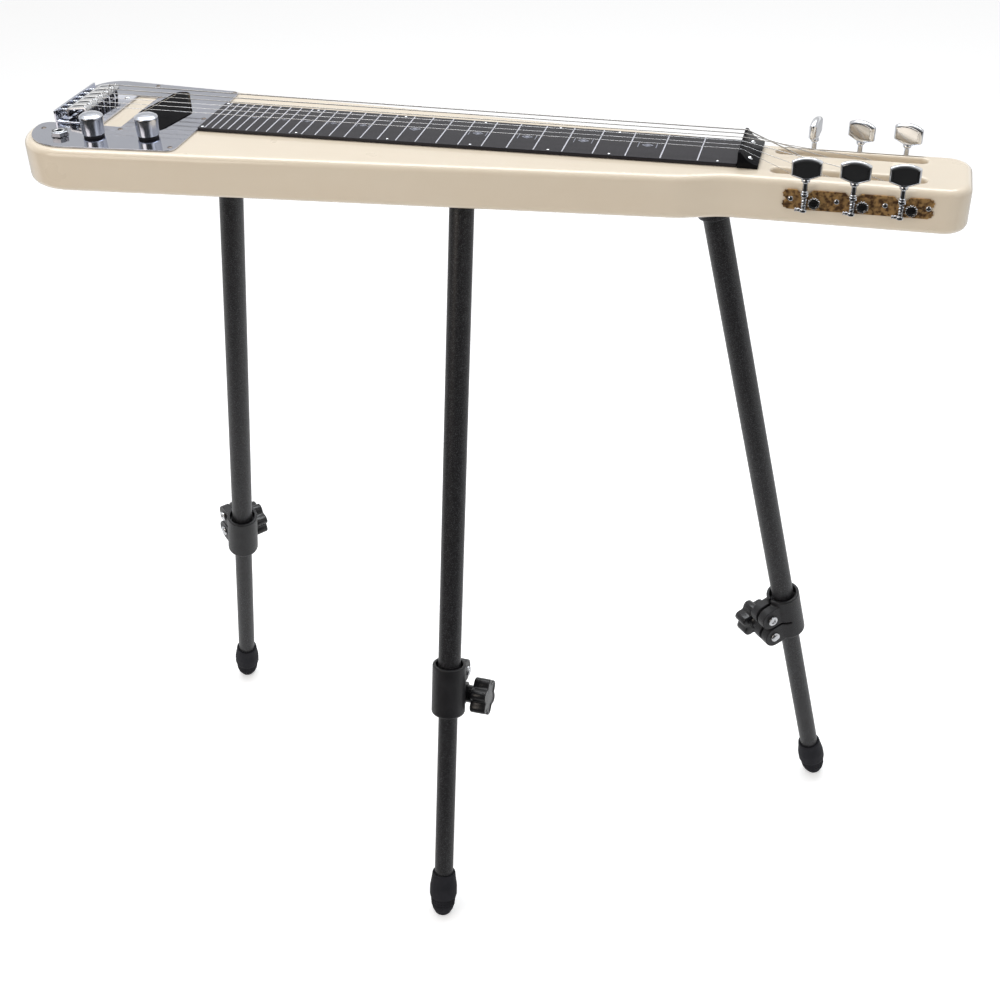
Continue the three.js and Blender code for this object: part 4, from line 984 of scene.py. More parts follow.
def drawn(points, radius, sides=12):
    """Draws a round wire along a route, closed at both ends."""
    form = bmesh.new()
    spots = [Vector(point) for point in points]
    across = Vector((0.0, 1.0, 0.0))
    rings = []
    for i, spot in enumerate(spots):
        way = (spots[min(i + 1, len(spots) - 1)] - spots[max(i - 1, 0)]).normalized()
        across = (across - way * across.dot(way)).normalized()
        other = way.cross(across)
        ring = []
        for k in range(sides):
            turn = 2 * math.pi * k / sides
            outwards = across * math.cos(turn) + other * math.sin(turn)
            ring.append(form.verts.new(spot + radius * outwards))
        rings.append(ring)
    for low, high in zip(rings, rings[1:]):
        for k in range(sides):
            form.faces.new((low[k - 1], low[k], high[k], high[k - 1]))
    form.faces.new(rings[0])
    form.faces.new(rings[-1])
    return form


def curved(points, reach, steps=6):
    """Replaces each inner corner of a route in space with a short smooth bend."""
    spots = [Vector(point) for point in points]
    route = [spots[0]]
    for before, corner, after in zip(spots, spots[1:], spots[2:]):
        back, ahead = before - corner, after - corner
        span = min(reach, back.length * 0.4, ahead.length * 0.4)
        start = corner + back.normalized() * span
        end = corner + ahead.normalized() * span
        for k in range(steps + 1):
            share = k / steps
            first, second = start.lerp(corner, share), corner.lerp(end, share)
            route.append(first.lerp(second, share))
    return route + [spots[-1]]


def string_route(index):
    radius = string_radii[index]
    near = index < plain_strings
    side = -1 if near else 1
    post = min(index, 5 - index)
    bridge_y, nut_y = string_y(index, saddle_pitch), string_y(index, nut_pitch)
    lift = radius + string_rest
    corners = [
        (anchor_x, bridge_y, -ball_radius),
        (anchor_x, bridge_y, bridge_top),
        (-scale_length - saddle_bend_reach, bridge_y, saddle_top + lift - saddle_bend_drop),
        (-scale_length, bridge_y, saddle_top + lift),
        (nut_ridge / 2, nut_y, nut_top + lift),
        (nut_ridge, nut_y, nut_top + lift - 0.05),
    ]
    inner = head_slot_inner[0 if near else 1]
    if post == 2:
        corners.append((post_x(post) * slot_lip_share, inner + side * (lift + 0.4), 0.3 + lift))
    coil = post_radius + lift
    leave = corners[-1]
    drop = math.atan2(leave[2] - post_height - coil, post_x(post) - leave[0])
    first_turn = math.pi / 2 - drop
    coil_start = inner + side * winding_setbacks[post]
    coil_width = winding_turns * (2 * radius + winding_gap)

    def on_coil(turn, share):
        return (
            post_x(post) + coil * math.cos(turn),
            coil_start + side * coil_width * share,
            post_height + coil * math.sin(turn),
        )

    route = curved([*corners, on_coil(first_turn, 0.0)], 1.2)
    steps = winding_turns * 36
    for k in range(1, steps + 1):
        share = k / steps
        route.append(Vector(on_coil(first_turn - 2 * math.pi * winding_turns * share, share)))
    route.append(Vector((post_x(post), coil_start + side * coil_width, post_height)))
    return route


plain_wire = Finish("plain_steel_wire", {"Metallic": 1.0})
wire_cloud = plain_wire.noise(900.0, (0.1, 1.0, 1.0))
plain_wire.color(wire_cloud, (0.50, 0.50, 0.50), (0.66, 0.66, 0.68))
plain_wire.feed("Roughness", 0.18 + 0.14 * wire_cloud)
wound_wire = Finish("wound_nickel_wire", {"Metallic": 1.0})
winding = wound_wire.node(
    "ShaderNodeTexWave",
    {"bands_direction": "X"},
    {"Vector": wound_wire.place, "Scale": 900.0, "Distortion": 0.0},
)
wound_wire.color(winding, (0.30, 0.29, 0.28), (0.62, 0.60, 0.58))
wound_wire.feed("Roughness", 0.38 - 0.14 * winding)
wound_wire.bump(winding, 0.6, 0.0001)
ball_profile = [(0, -ball_half), (ball_radius, -ball_half), (ball_radius, -0.9), (1.35, -0.5)]
ball_profile += [(1.35, 0.5), (ball_radius, 0.9), (ball_radius, ball_half), (0, ball_half)]
for k, radius in enumerate(string_radii):
    wire = drawn(string_route(k), radius, 10)
    ball = stood(turned(softened(ball_profile, [0.3, 0.2, 0.2, 0.2, 0.2, 0.3], 3), 28))
    place = Matrix.Translation((anchor_x, string_y(k, saddle_pitch), -ball_radius))
    look = plain_wire if k < plain_strings else wound_wire
    node = f"string_{k + 1}"
    wire = joined(wire, (ball, place))
    show(node + "_wire", wire, look, "instrument", [node])


# Pickup. A coil under a moulded gloss-black cover, lozenge-shaped and set a little askew. It sits
# in its pocket with an even gap all round, just below the face of the steel plate.
pickup_gap, pickup_top, pickup_bottom = 1.5, 1.1, -16.9
cover_look = Finish("pickup_cover_black", {"IOR": 1.06})
cover_haze = cover_look.noise(55.0)
cover_dust = cover_look.noise(1300.0, detail=1.0)
cover_look.color(cover_haze, (0.001, 0.001, 0.002), (0.006, 0.006, 0.007))
cover_look.feed("Roughness", 0.08 + 0.12 * cover_haze + 0.04 * cover_dust)
cover_look.bump(cover_haze * 0.9 + cover_dust * 0.1, 0.04, 0.0004)
cover = slab(offset(pickup_outline, -pickup_gap), eased(pickup_top, pickup_bottom, 1.6, 5))
show("pickup_cover", cover, cover_look, "instrument", ["pickup"])


# Tone and volume controls. Chromed barrel knobs with low domes push onto the shafts of two
# potentiometers, whose threaded bushes come up through the plate and are held by hexagon nuts.
knob_foot, knob_top, knob_radius = 3.7, 22.1, 10.3
knob_profile = [
    (0.0, 6.8), (4.2, 6.8), (4.2, knob_foot), (9.0, knob_foot), (9.55, knob_foot + 0.5),
    (9.6, knob_foot + 2.0), (knob_radius, 17.6), (knob_radius, 19.3), (7.6, 21.1), (3.6, 21.9),
    (0.0, knob_top),
]
knob_bends = [0.3, 0.3, 0.2, 0.2, 0.6, 4.0, 1.3, 3.0, 4.0]
case_profile = [(0, -11), (8, -11), (8, -0.2), (5.2, 0.0), (0, 0.0)]
bush_radius, bush_top, bush_pitch, bush_nut_across = 3.6, 6.5, 0.75, 10.0
# Painted shade: a black rubber ring round each bush fills the gap between knob and plate, where shade
# falls.
shade_ring_profile = [(6.6, 1.6), (8.7, 1.6), (8.9, 2.5), (8.7, 3.4), (6.6, 3.4), (6.5, 2.5)]
shade_ring_bends = [0.2, 1.0, 0.2, 0.2]
bush_nut_low, bush_nut_high = 1.8, 3.4
hex_sides = 6


def hex_nut(across, low, high, hole):
    """A hexagon nut with chamfered corners round a clear hole."""
    corner = across / 2 / math.cos(math.pi / hex_sides)
    outline = rounded(circle((0.0, 0.0), corner, hex_sides), [0.25] * hex_sides, 3)
    nut_rows = [(1.1, high), (0.55, high), (0.0, high - 0.4), (0.0, low + 0.4), (0.55, low), (1.1, low)]
    hole_rows = [(0.45, high), (0.3, high), (0.0, high - 0.3), (0.0, low + 0.3), (0.3, low), (0.45, low)]
    return slab(outline, nut_rows, [(circle((0.0, 0.0), hole), hole_rows, True)])


knob_look = Finish("knob_chrome", {"Metallic": 1.0})
knob_haze = knob_look.noise(95.0)
knob_wear = knob_look.noise(1500.0, (1.0, 1.0, 0.1))
knob_look.color(knob_haze, (0.52, 0.54, 0.60), (0.68, 0.70, 0.75))
knob_look.feed("Roughness", 0.2 + 0.08 * knob_haze)
knob_look.bump(knob_wear, 0.04, 0.0001)

zinc = Finish("zinc_plated_steel", {"Metallic": 1.0})
zinc_cloud = zinc.noise(220.0)
zinc_grain = zinc.noise(1800.0, detail=2.0)
zinc.color(zinc_cloud, (0.60, 0.61, 0.64), (0.80, 0.81, 0.82))
zinc.feed("Roughness", 0.16 + 0.16 * zinc_grain)
zinc.bump(zinc_grain, 0.08, 0.0001)

rubber = Finish("moulded_rubber", {"Specular IOR Level": 0.12})
rubber_grain = rubber.noise(900.0, detail=3.0)
rubber_bloom = rubber.noise(90.0)
rubber.color(rubber_bloom, (0.012, 0.012, 0.015), (0.030, 0.030, 0.036))
rubber.feed("Roughness", 0.48 + 0.2 * rubber_bloom)
rubber.bump(rubber_grain, 0.25, 0.0003)

for name, spot in knob_places.items():
    place = layout @ Matrix.Translation((*spot, 0.0))
    barrel = turned(softened(knob_profile, knob_bends, 6), 72)
    node = f"{name}_knob"
    show(node + "_barrel", barrel, knob_look, node, [node], place, 50.0)
    case = turned(softened(case_profile, [0.8, 0.6, 0.3], 4), 48)
    bush = threaded(bush_radius, -0.3, bush_top, bush_pitch)
    bush_nut = hex_nut(bush_nut_across, bush_nut_low, bush_nut_high, bush_radius + 0.1)
    pot = joined(case, bush, bush_nut)
    node = f"{name}_pot"
    show(node + "_case", pot, zinc, "instrument", [node], place)
    # The black ring under the knob, standing in as painted shade of the gap.
    ring = turned(softened(shade_ring_profile, shade_ring_bends, 4), 64, True)
    show(f"{name}_felt_ring", ring, rubber, "instrument", (), place, 50.0)


# Output jack. A quarter-inch socket stands up through the plate beside the bridge. Its threaded
# sleeve is fixed by a nickelled hexagon nut over a washer, and its bore is open for the plug.
bore_radius, sleeve_radius, sleeve_top = 3.25, 4.8, 6.4
jack_can_radius, jack_floor = 7.5, -24.0
jack_nut_low, jack_nut_high, jack_nut_across = 1.95, 6.1, 13.5
washer_low, washer_high, washer_radius, washer_hole = 1.55, 1.9, 7.6, 5.0
sleeve_ridges, sleeve_pitch = 8, 0.72
sleeve_profile = [(bore_radius, jack_floor), (jack_can_radius, jack_floor), (jack_can_radius, -0.2)]
sleeve_profile += [(sleeve_radius, -0.2)]
for k in range(sleeve_ridges):
    foot = 0.2 + k * sleeve_pitch
    sleeve_profile += [(sleeve_radius - 0.2, foot), (sleeve_radius, foot + sleeve_pitch / 2)]
sleeve_profile += [(sleeve_radius - 0.1, sleeve_top - 0.2), (sleeve_radius - 0.4, sleeve_top)]
sleeve_profile += [(bore_radius + 0.4, sleeve_top), (bore_radius, sleeve_top - 0.4)]
nickel = Finish("dull_nickel", {"Metallic": 1.0})
nickel_haze = nickel.noise(260.0)
nickel.color(nickel_haze, (0.16, 0.16, 0.17), (0.42, 0.43, 0.46))
nickel.feed("Roughness", 0.14 + 0.14 * nickel_haze)
nickel.bump(nickel_haze, 0.05, 0.0002)
jack_spot = layout @ Matrix.Translation((*jack_place, 0.0))
sleeve = turned(sleeve_profile, 48, True)
show("jack_sleeve", sleeve, zinc, "instrument", ["output_jack"], jack_spot, 30.0)
washer = slab(
    circle((0.0, 0.0), washer_radius, 48),
    eased(washer_high, washer_low, 0.12, 2),
    [(circle((0.0, 0.0), washer_hole), [(0.0, washer_high), (0.0, washer_low)], True)],
)
jack_nut = hex_nut(jack_nut_across, jack_nut_low, jack_nut_high, sleeve_radius + 0.1)
jack_nut = joined(jack_nut, washer)
show("jack_hex_nut", jack_nut, nickel, "instrument", ["jack_nut"], jack_spot)


# Tuner banks. On each side of the headstock a brass plate with scalloped ends, dark with age,
# carries three worms between bearings. It is held by four domed screws.
head_sides = {"near": (-1, body_centre - head_half), "far": (1, body_centre + head_half)}
bank_gap, bank_thickness = 0.3, 1.2
worm_distance, worm_standoff = 7.8, 4.7
bank_half_height, lobe_radius, bank_margin = 8.25, 4.2, 13.2
lobe_steps, scallop_depth, scallops = 32, 0.8, 9.0
dip_half, dip_depth = 3.4, 3.0
bearing_half, bearing_height, ear_steps = 3.2, 2.6, 12
worm_half, run_gap = 4.8, 0.3
bank_screws = (45.5, 81.2, 118.2, 151.1)
bank_screw_rise, bank_screw_size = 0.4, 2.3
nub_profile = [(0, 0), (1.5, 0), (1.5, 3.2), (1.1, 3.2), (1.1, 3.8), (1.7, 4.2), (1.7, 5.2), (0, 5.2)]
nub_bends = [0.2, 0.2, 0.2, 0.2, 0.3, 0.6]


def worm_x(index):
    return post_x(index) - worm_distance


def bank_outline():
    start, end = worm_x(0) - bank_margin, post_x(2) + bank_margin
    spread = bank_half_height - lobe_radius
    points, radii = [], []

    def lobe(x, z, first, last):
        for k in range(lobe_steps + 1):
            turn = math.radians(first + (last - first) * k / lobe_steps)
            scallop = abs(math.sin(scallops * (turn - math.radians(first)) / 2))
            reach = lobe_radius - scallop_depth * scallop
            points.append((x + reach * math.cos(turn), z + reach * math.sin(turn)))
            radii.append(0.0)

    lobe(end, -spread, -90, 70)
    lobe(end, spread, -70, 90)
    for k in (2, 1, 0):
        for side, reach, drop in ((1, 1, 0), (1, 0, 1), (-1, 0, 1), (-1, 1, 0)):
            dip_x = worm_x(k) + side * (dip_half + reach * dip_depth)
            points.append((dip_x, bank_half_height - drop * dip_depth))
            radii.append(0.8)
    lobe(start, spread, 90, 250)
    lobe(start, -spread, 110, 270)
    return rounded(points, radii, 4)


def on_side(side, edge, height=post_height):
    """From a drawing in X, Z and outwards to its place on one side of the headstock."""
    rows = ((1, 0, 0, 0), (0, 0, side, edge), (0, 1, 0, height), (0, 0, 0, 1))
    return Matrix(rows)


brass = Finish("aged_brass", {"Metallic": 0.5})
brass_tarnish = brass.noise(260.0, detail=5.0)
brass_grain = brass.noise(1500.0, (0.15, 1.0, 1.0))
brass.color(brass.ramp(brass_tarnish, 0.42, 0.6), (0.56, 0.33, 0.13), (0.12, 0.06, 0.025))
brass.feed("Roughness", 0.28 + 0.16 * brass_tarnish + 0.08 * brass_grain)
brass.bump(brass_tarnish * 0.7 + brass_grain * 0.3, 0.15, 0.0003)
# Painted shade: the screw in the dish of each post wheel is coloured near-black to stand for the dark
# hollow at the wheel's centre.
shade_dark_steel = Finish("burnished_steel", {"Metallic": 0.6, "Roughness": 0.45})
dark_cloud = shade_dark_steel.noise(500.0)
shade_dark_steel.color(dark_cloud, (0.008, 0.008, 0.009), (0.03, 0.03, 0.032))

for side_name, (side, head_edge) in head_sides.items():
    inner = head_edge + side * bank_gap
    worm_y = inner + side * (bank_thickness + worm_standoff)
    outline = bank_outline()
    bank = joined((slab(outline, eased(bank_thickness, 0.0, 0.2, 3)), on_side(side, inner)))
    node = f"tuner_plate_{side_name}"
    show(f"tuner_bank_{side_name}", bank, brass, "instrument", [node])
    bearings = []
    for k in range(3):
        x = worm_x(k)
        middle = Vector((x, abs(worm_y - inner)))
        ear_outline = [Vector((x - bearing_half, 0.4)), Vector((x + bearing_half, 0.4))]
        for j in range(ear_steps + 1):
            turn = math.pi * j / ear_steps
            ear_outline.append(middle + bearing_half * Vector((math.cos(turn), math.sin(turn))))
        for low in (worm_half + run_gap, -worm_half - run_gap - bearing_height):
            ear = slab(ear_outline, eased(low + bearing_height, low, 0.5, 3))
            lay = Matrix(((1, 0, 0, 0), (0, side, 0, inner), (0, 0, 1, post_height), (0, 0, 0, 1)))
            bearings.append((ear, lay))
        nub = turned(softened(nub_profile, nub_bends, 3), 24)
        nub_height = post_height - worm_half - run_gap - bearing_height / 2
        nub_place = Matrix.Translation((x - nub_profile[1][0], worm_y, nub_height))
        bearings.append((nub, nub_place @ Matrix.Rotation(-math.pi / 2, 4, "Y")))
    show(f"worm_bearings_{side_name}", joined(*bearings), chrome, "instrument")
    face = inner + side * bank_thickness
    level = post_height + bank_screw_rise
    screws = [((x, face, level), (0.0, side, 0.0), bank_screw_size) for x in bank_screws]
    fasten(f"tuner_bank_screws_{side_name}", pan_screw, screws, chrome, 6 + side)


# Tuner shafts and posts. A moulded and chromed button turns a stem with a worm on it. The worm
# drives a fourteen-tooth wheel on the end of the steel post, round which the string winds.
worm_root, worm_pitch, thread_radius_worm = 1.8, 2.1, 0.68
axle_radius, axle_tail, stem_radius = 1.7, 3.6, 2.1
button_foot, button_top, button_half = 4.2, 22.2, 12.0
button_thickness, button_shoulder, button_crown = 6.0, 3.2, 3.2
button_turns = {"near": (6, -4, 3), "far": (80, -30, -24)}
gear_radius, gear_root, gear_teeth, gear_half = 5.0, 4.1, 14, 2.25
tooth_shares, dish_radius = (-0.36, -0.16, 0.16, 0.36), 3.5
cap_radii, cap_drops = (0, 1.6, 2.9, 3.2, 0), (0.45, 0.5, 0.75, 1.35, 1.35)
post_seat = 6.0
post_neck, post_bore = 2.4, (0.9, -6, 6)
cap_slot_half, cap_slot_reach, cap_slot_depth = 0.4, 4.0, 0.95

worm_low, worm_high = post_height - worm_half, post_height + worm_half
stem_foot = worm_high + 2 * run_gap + bearing_height
shaft_profile = [
    (0, worm_low - axle_tail), (axle_radius, worm_low - axle_tail), (axle_radius, worm_low),
    (worm_root, worm_low), (worm_root, worm_high), (axle_radius, worm_high),
    (axle_radius, stem_foot), (stem_radius + 0.5, stem_foot), (stem_radius + 0.5, stem_foot + 1.2),
    (stem_radius, stem_foot + 1.6), (stem_radius, button_foot - 2.6),
    (stem_radius + 1.3, button_foot - 1.6), (stem_radius + 1.6, button_foot - 0.2),
    (stem_radius + 1.2, button_foot + 0.8), (0, button_foot + 0.8),
]
shaft_bends = [0.4, 0.0, 0.0, 0.0, 0.0, 0.0, 0.3, 0.3, 0.4, 0.8, 0.8, 0.6, 0.3]
crown_steps = 10
button_corners = [(-3.0, button_foot), (3.0, button_foot), (button_half, button_foot + button_shoulder)]
button_radii = [0.8, 0.8, 1.4]
for k in range(crown_steps + 1):
    share = 1 - 2 * k / crown_steps
    crown_height = button_top - button_crown + button_crown * (1 - share * share)
    button_corners.append((button_half * share, crown_height))
    button_radii.append(1.2 if k in (0, crown_steps) else 0.0)
button_corners.append((-button_half, button_foot + button_shoulder))
button_radii.append(1.4)
half_button = button_thickness / 2
button_rows = [(3.2, half_button), (1.9, half_button - 0.05), (1.6, half_button - 0.15), (0.25, 1.35)]
button_rows += [(0.06, 1.05), (0.0, 0.7), (0.0, -0.7), (0.06, -1.05), (0.25, -1.35)]
button_rows += [(1.6, 0.15 - half_button), (1.9, 0.05 - half_button), (3.2, -half_button)]
helix_steps = 96
thread_turns = (2 * worm_half - 1.6) / worm_pitch
helix = []
for k in range(helix_steps + 1):
    share = k / helix_steps
    turn = 2 * math.pi * thread_turns * share
    rise = worm_low + 0.8 + (2 * worm_half - 1.6) * share
    helix.append((worm_root * math.cos(turn), worm_root * math.sin(turn), rise))
teeth, tooth_radii = [], []
for k in range(gear_teeth):
    for share, radius in zip(tooth_shares, (gear_root, gear_radius, gear_radius, gear_root)):
        turn = 2 * math.pi * (k + share) / gear_teeth
        teeth.append((radius * math.cos(turn), radius * math.sin(turn)))
        tooth_radii.append(0.15)
gear_outline = rounded(teeth, tooth_radii, 2)

for side_name, (side, head_edge) in head_sides.items():
    inner = head_edge + side * bank_gap
    worm_y = inner + side * (bank_thickness + worm_standoff)
    slot_edge = head_slot_inner[0 if side < 0 else 1]
    post_start = (slot_edge - side * post_seat - head_edge) * side
    wheel_middle = (worm_y - head_edge) * side
    for k in range(3):
        shaft = turned(softened(shaft_profile, shaft_bends, 3), 36)
        grip = stood(slab(rounded(button_corners, button_radii, 4), button_rows))
        tuner = joined(shaft, drawn(helix, thread_radius_worm, 8), grip)
        turn = Matrix.Rotation(math.radians(button_turns[side_name][k]), 4, "Z")
        place = layout @ Matrix.Translation((worm_x(k), worm_y, 0.0)) @ turn
        body = f"{side_name}_tuner_{k + 1}"
        node = f"tuner_button_{side_name}_{k + 1}"
        show(node + "_shaft", tuner, chrome, body, [node], place, 32.0)

        out = layout @ Matrix.Translation((post_x(k), 0, 0)) @ on_side(side, head_edge)
        post_profile = [(0, post_start), (post_radius, post_start), (post_radius, -2.0)]
        post_profile += [(post_neck, -0.6), (post_neck, wheel_middle), (0, wheel_middle)]
        post = turned(softened(post_profile, [0.5, 0.3, 0.3, 0.0], 3), 40)
        middle = slot_centres[0 if side < 0 else 1]
        drill = stood(turned(rod(*post_bore), 20))
        drill.transform(Matrix.Translation((0, 0, (middle - head_edge) * side)))
        face, back = wheel_middle + gear_half, wheel_middle - gear_half
        recess = [(0.35, face), (0.15, face), (0.0, face - 0.3), (0.0, face - 1.3)]
        dish = (circle((0, 0), dish_radius, 40), recess, False)
        wheel = slab(gear_outline, eased(face, back, 0.35, 3), [dish])
        body, node = f"{side_name}_post_{k + 1}", f"string_post_{side_name}_{k + 1}"
        shaft = joined(carved(post, [drill]), wheel)
        show(node + "_steel", shaft, chrome, body, [node], out, 32.0)
        # The wheel's screw, near-black as painted shade of its hollow.
        cap_profile = [(radius, face - drop) for radius, drop in zip(cap_radii, cap_drops)]
        cap = turned(softened(cap_profile, [1.0, 0.8, 0.2], 4), 32)
        low = (-cap_slot_reach, -cap_slot_half, face - cap_slot_depth)
        notch = box_form(low, (cap_slot_reach, cap_slot_half, face + 1.0), 0.1)
        show(node + "_screw", carved(cap, [notch]), shade_dark_steel, body, (), out, 32.0)


# Leg sockets. A black flange lies flat under the plank on three countersunk screws, and a short
# boss leans out of it at the angle of the leg and holds the upper tube.
leg_names = ("butt", "middle", "head")
joint_named = {joint["name"]: joint for joint in frame["joints"]}
clamp_down, ear_reach = 508.0, 23.5
flange_radius, flange_top, flange_bottom = 24.0, -37.3, -40.3
boss_radius, boss_end, upper_radius = 15.0, 13.0, 11.0
flange_screw_reach, flange_screw_size = 18.6, 2.6
tube_play = 0.3


def leg_frame(name):
    """The leg's own frame: X along its clamp bolt, Y towards the bolt, and Z up the tube."""
    clamp, slide = joint_named[name + "_clamp_turn"], joint_named[name + "_leg_slide"]
    bolt = Vector(clamp["axis"]).normalized()
    upwards = -Vector(slide["axis"]).normalized()
    outwards = upwards.cross(bolt).normalized()
    top = Vector(clamp["pos_m"]) + upwards * clamp_down / 1000 - outwards * ear_reach / 1000
    axes = Matrix((bolt, outwards, upwards)).transposed().to_4x4()
    return Matrix.Translation(top) @ axes @ Matrix.Scale(0.001, 4)


def trimmed(form, height, facing):
    """Cuts away what lies beyond a level plane, above or below it, and closes the cut."""
    whole = [*form.verts, *form.edges, *form.faces]
    level, normal = (0.0, 0.0, height), (0.0, 0.0, facing)
    bmesh.ops.bisect_plane(form, geom=whole, plane_co=level, plane_no=normal, clear_outer=True)
    bmesh.ops.holes_fill(form, edges=[edge for edge in form.edges if edge.is_boundary])
    return form


def hung(profile, segments=64, closed=False):
    """Turns a profile whose heights are measured down the leg."""
    return turned([(radius, -down) for radius, down in profile], segments, closed)


powder = Finish("black_powder_coat", {"Specular IOR Level": 0.4})
powder_speck = powder.noise(1200.0, detail=2.0)
powder_cloud = powder.noise(60.0)
powder.color(powder.ramp(powder_speck, 0.48, 0.72), (0.012, 0.012, 0.013), (0.075, 0.075, 0.082))
powder.feed("Roughness", 0.24 + 0.1 * powder_cloud + 0.1 * powder_speck)
powder.bump(powder_speck, 0.3, 0.0003)

legs = {name: leg_frame(name) for name in leg_names}
into_layout = layout.inverted()
for name, place in legs.items():
    top = into_layout @ place.translation
    flange_profile = [(0, flange_top), (flange_radius, flange_top), (flange_radius, flange_bottom)]
    flange = turned(softened(flange_profile + [(0, flange_bottom)], [0.3, 1.0], 4), 64)
    flange.transform(Matrix.Translation((top.x, top.y, 0.0)))
    mouth = upper_radius + tube_play
    boss_profile = [(0, 0), (boss_radius, 0), (boss_radius, boss_end), (mouth, boss_end)]
    boss_profile += [(mouth, boss_end - 4), (0, boss_end - 4)]
    boss = turned([(r, -d) for r, d in softened(boss_profile, [0.0, 1.4, 0.4, 0.0], 4)], 64)
    boss.transform(into_layout @ place)
    socket = joined(flange, trimmed(boss, flange_top - 0.5, 1.0))
    show(f"{name}_socket_casting", socket, powder, "instrument", [f"{name}_leg_socket"])
    screws = []
    for k in range(3):
        turn = 2 * math.pi * (k + 0.25) / 3
        reach = flange_screw_reach * Vector((math.cos(turn), math.sin(turn)))
        spot = (top.x + reach.x, top.y + reach.y, flange_bottom)
        screws.append((spot, (0.0, 0.0, -1.0), flange_screw_size))
    fasten(f"{name}_socket_screws", pan_screw, screws, zinc, 11)


# Leg tubes. Two steel tubes in black powder coat telescope in each leg. The upper one stands in
# the socket, and the thinner lower one slides in it and ends in the foot.
lower_radius, tube_wall = 9.5, 1.2
upper_top, upper_end = 9.2, 490.0
lower_top, foot_top, foot_socket = 267.6, 705.7, 35.7


def tube(radius, top, end):
    inner, lip = radius - tube_wall, 0.35
    profile = [(inner, top + lip), (inner + lip, top), (radius - lip, top), (radius, top + lip)]
    profile += [(radius, end - lip), (radius - lip, end), (inner + lip, end), (inner, end - lip)]
    return hung(profile, 64, True)


lower_end = foot_top + foot_socket
for name, place in legs.items():
    for level, body, radius, top, end in (
        ("upper", "instrument", upper_radius, upper_top, upper_end),
        ("lower", f"{name}_lower_leg", lower_radius, lower_top, lower_end),
    ):
        piece, nodes = f"{name}_{level}_steel_tube", [f"{name}_{level}_tube"]
        show(piece, tube(radius, top, end), powder, body, nodes, place)


# Collars. A black nylon moulding with a wide mouth grips both tubes. It is split down one side and
# slit across, so that its upper ears close on the upper tube and its lower ears on the lower one.
collar_top, collar_end, collar_radius = 465.6, 519.4, 16.6
mouth_radius, mouth_end = 13.4, 474.6
ear_radius, ear_half = 11.4, 10.5
band_down, slit_down = 483.0, 495.5
ear_gap, slit_height, slit_reach = 3.0, 2.2, 30.0
jaw_root, split_root = 11.0, 4.0
bolt_radius = 3.0
collar_voxel = 0.55


def moulded(form, voxel, passes):
    """Melts the edges of a closed form a little, as a moulding has them."""
    pattern = mesh_object("moulding", form)
    remesh = pattern.modifiers.new("skin", "REMESH")
    remesh.mode = "VOXEL"
    remesh.voxel_size = voxel
    smooth = pattern.modifiers.new("melt", "SMOOTH")
    smooth.factor = 0.5
    smooth.iterations = passes
    result = evaluated(pattern)
    bpy.data.objects.remove(pattern)
    return result


def block(low, high):
    form = bmesh.new()
    bmesh.ops.create_cube(form, size=1.0)
    middle = [(a + b) / 2 for a, b in zip(low, high)]
    sizes = [b - a for a, b in zip(low, high)]
    form.transform(Matrix.Translation(middle) @ Matrix.Diagonal((*sizes, 1.0)))
    return form


def across_leg(profile, down, segments=48):
    """Turns a profile about a bolt's line, which crosses the leg at its ears."""
    form = turned(profile, segments)
    form.transform(on_bolt(down))
    return form


def on_bolt(down):
    """Lays a form drawn about Z along the line of a bolt at the ears."""
    return Matrix.Translation((0.0, ear_reach, -down)) @ Matrix.Rotation(math.pi / 2, 4, "Y")


nylon = Finish("black_nylon", {"Specular IOR Level": 0.35})
nylon_grain = nylon.noise(1100.0, detail=3.0)
nylon_cloud = nylon.noise(70.0)
nylon.color(nylon_cloud, (0.009, 0.009, 0.010), (0.026, 0.026, 0.029))
nylon.feed("Roughness", 0.26 + 0.14 * nylon_cloud)
nylon.bump(nylon_grain, 0.6, 0.0006)

jaws = []
for down in (band_down, clamp_down):
    jaws.append(across_leg(rod(ear_radius, -ear_half, ear_half), down))
    low = (-ear_half, jaw_root, -down - ear_radius)
    jaws.append(block(low, (ear_half, ear_reach, -down + ear_radius)))
barrel = hung(softened(rod(collar_radius, collar_top, collar_end), [1.2, 3.0], 5), 72)
collar_form = carved(barrel, jaws, "UNION")
bore_profile = [(0, collar_top - 3), (mouth_radius, collar_top - 3), (mouth_radius, mouth_end)]
bore_profile += [(upper_radius + tube_play, mouth_end), (upper_radius + tube_play, upper_end + 0.3)]
bore_profile += [(lower_radius + tube_play, upper_end + 0.3), (lower_radius + tube_play, collar_end + 3)]
bore_profile.append((0, collar_end + 3))
far = ear_reach + ear_radius + 4
slit_low = (-slit_reach, split_root, -slit_down - slit_height / 2)
cuts = [
    hung(bore_profile, 72),
    block((-ear_gap / 2, split_root, -collar_end - 3), (ear_gap / 2, far, -collar_top + 3)),
    block(slit_low, (slit_reach, far, -slit_down + slit_height / 2)),
]
for down in (band_down, clamp_down):
    cuts.append(across_leg(rod(bolt_radius + 0.3, -ear_half - 3, ear_half + 3), down))
collar_form = moulded(carved(collar_form, cuts), collar_voxel, 3)
for name, place in legs.items():
    piece, form = f"{name}_collar", collar_form.copy()
    show(piece + "_moulding", form, nylon, "instrument", [piece], place, 60.0)
collar_form.free()


# Band bolts and clamp knobs. A plated bolt closes each collar's upper ears for good. The lower
# ears are drawn together by the stud of a six-lobed star knob, whose round head shows opposite.
bolt_head, bolt_head_length = 5.2, 2.4
hub_radius, star_start, star_end = 8.8, 19.5, 35.5
star_radius, star_valley, star_lobes = 19.2, 4.6, 6
seat = ear_half + 0.3
band_nut_across, shank_past = 9.0, 3.0

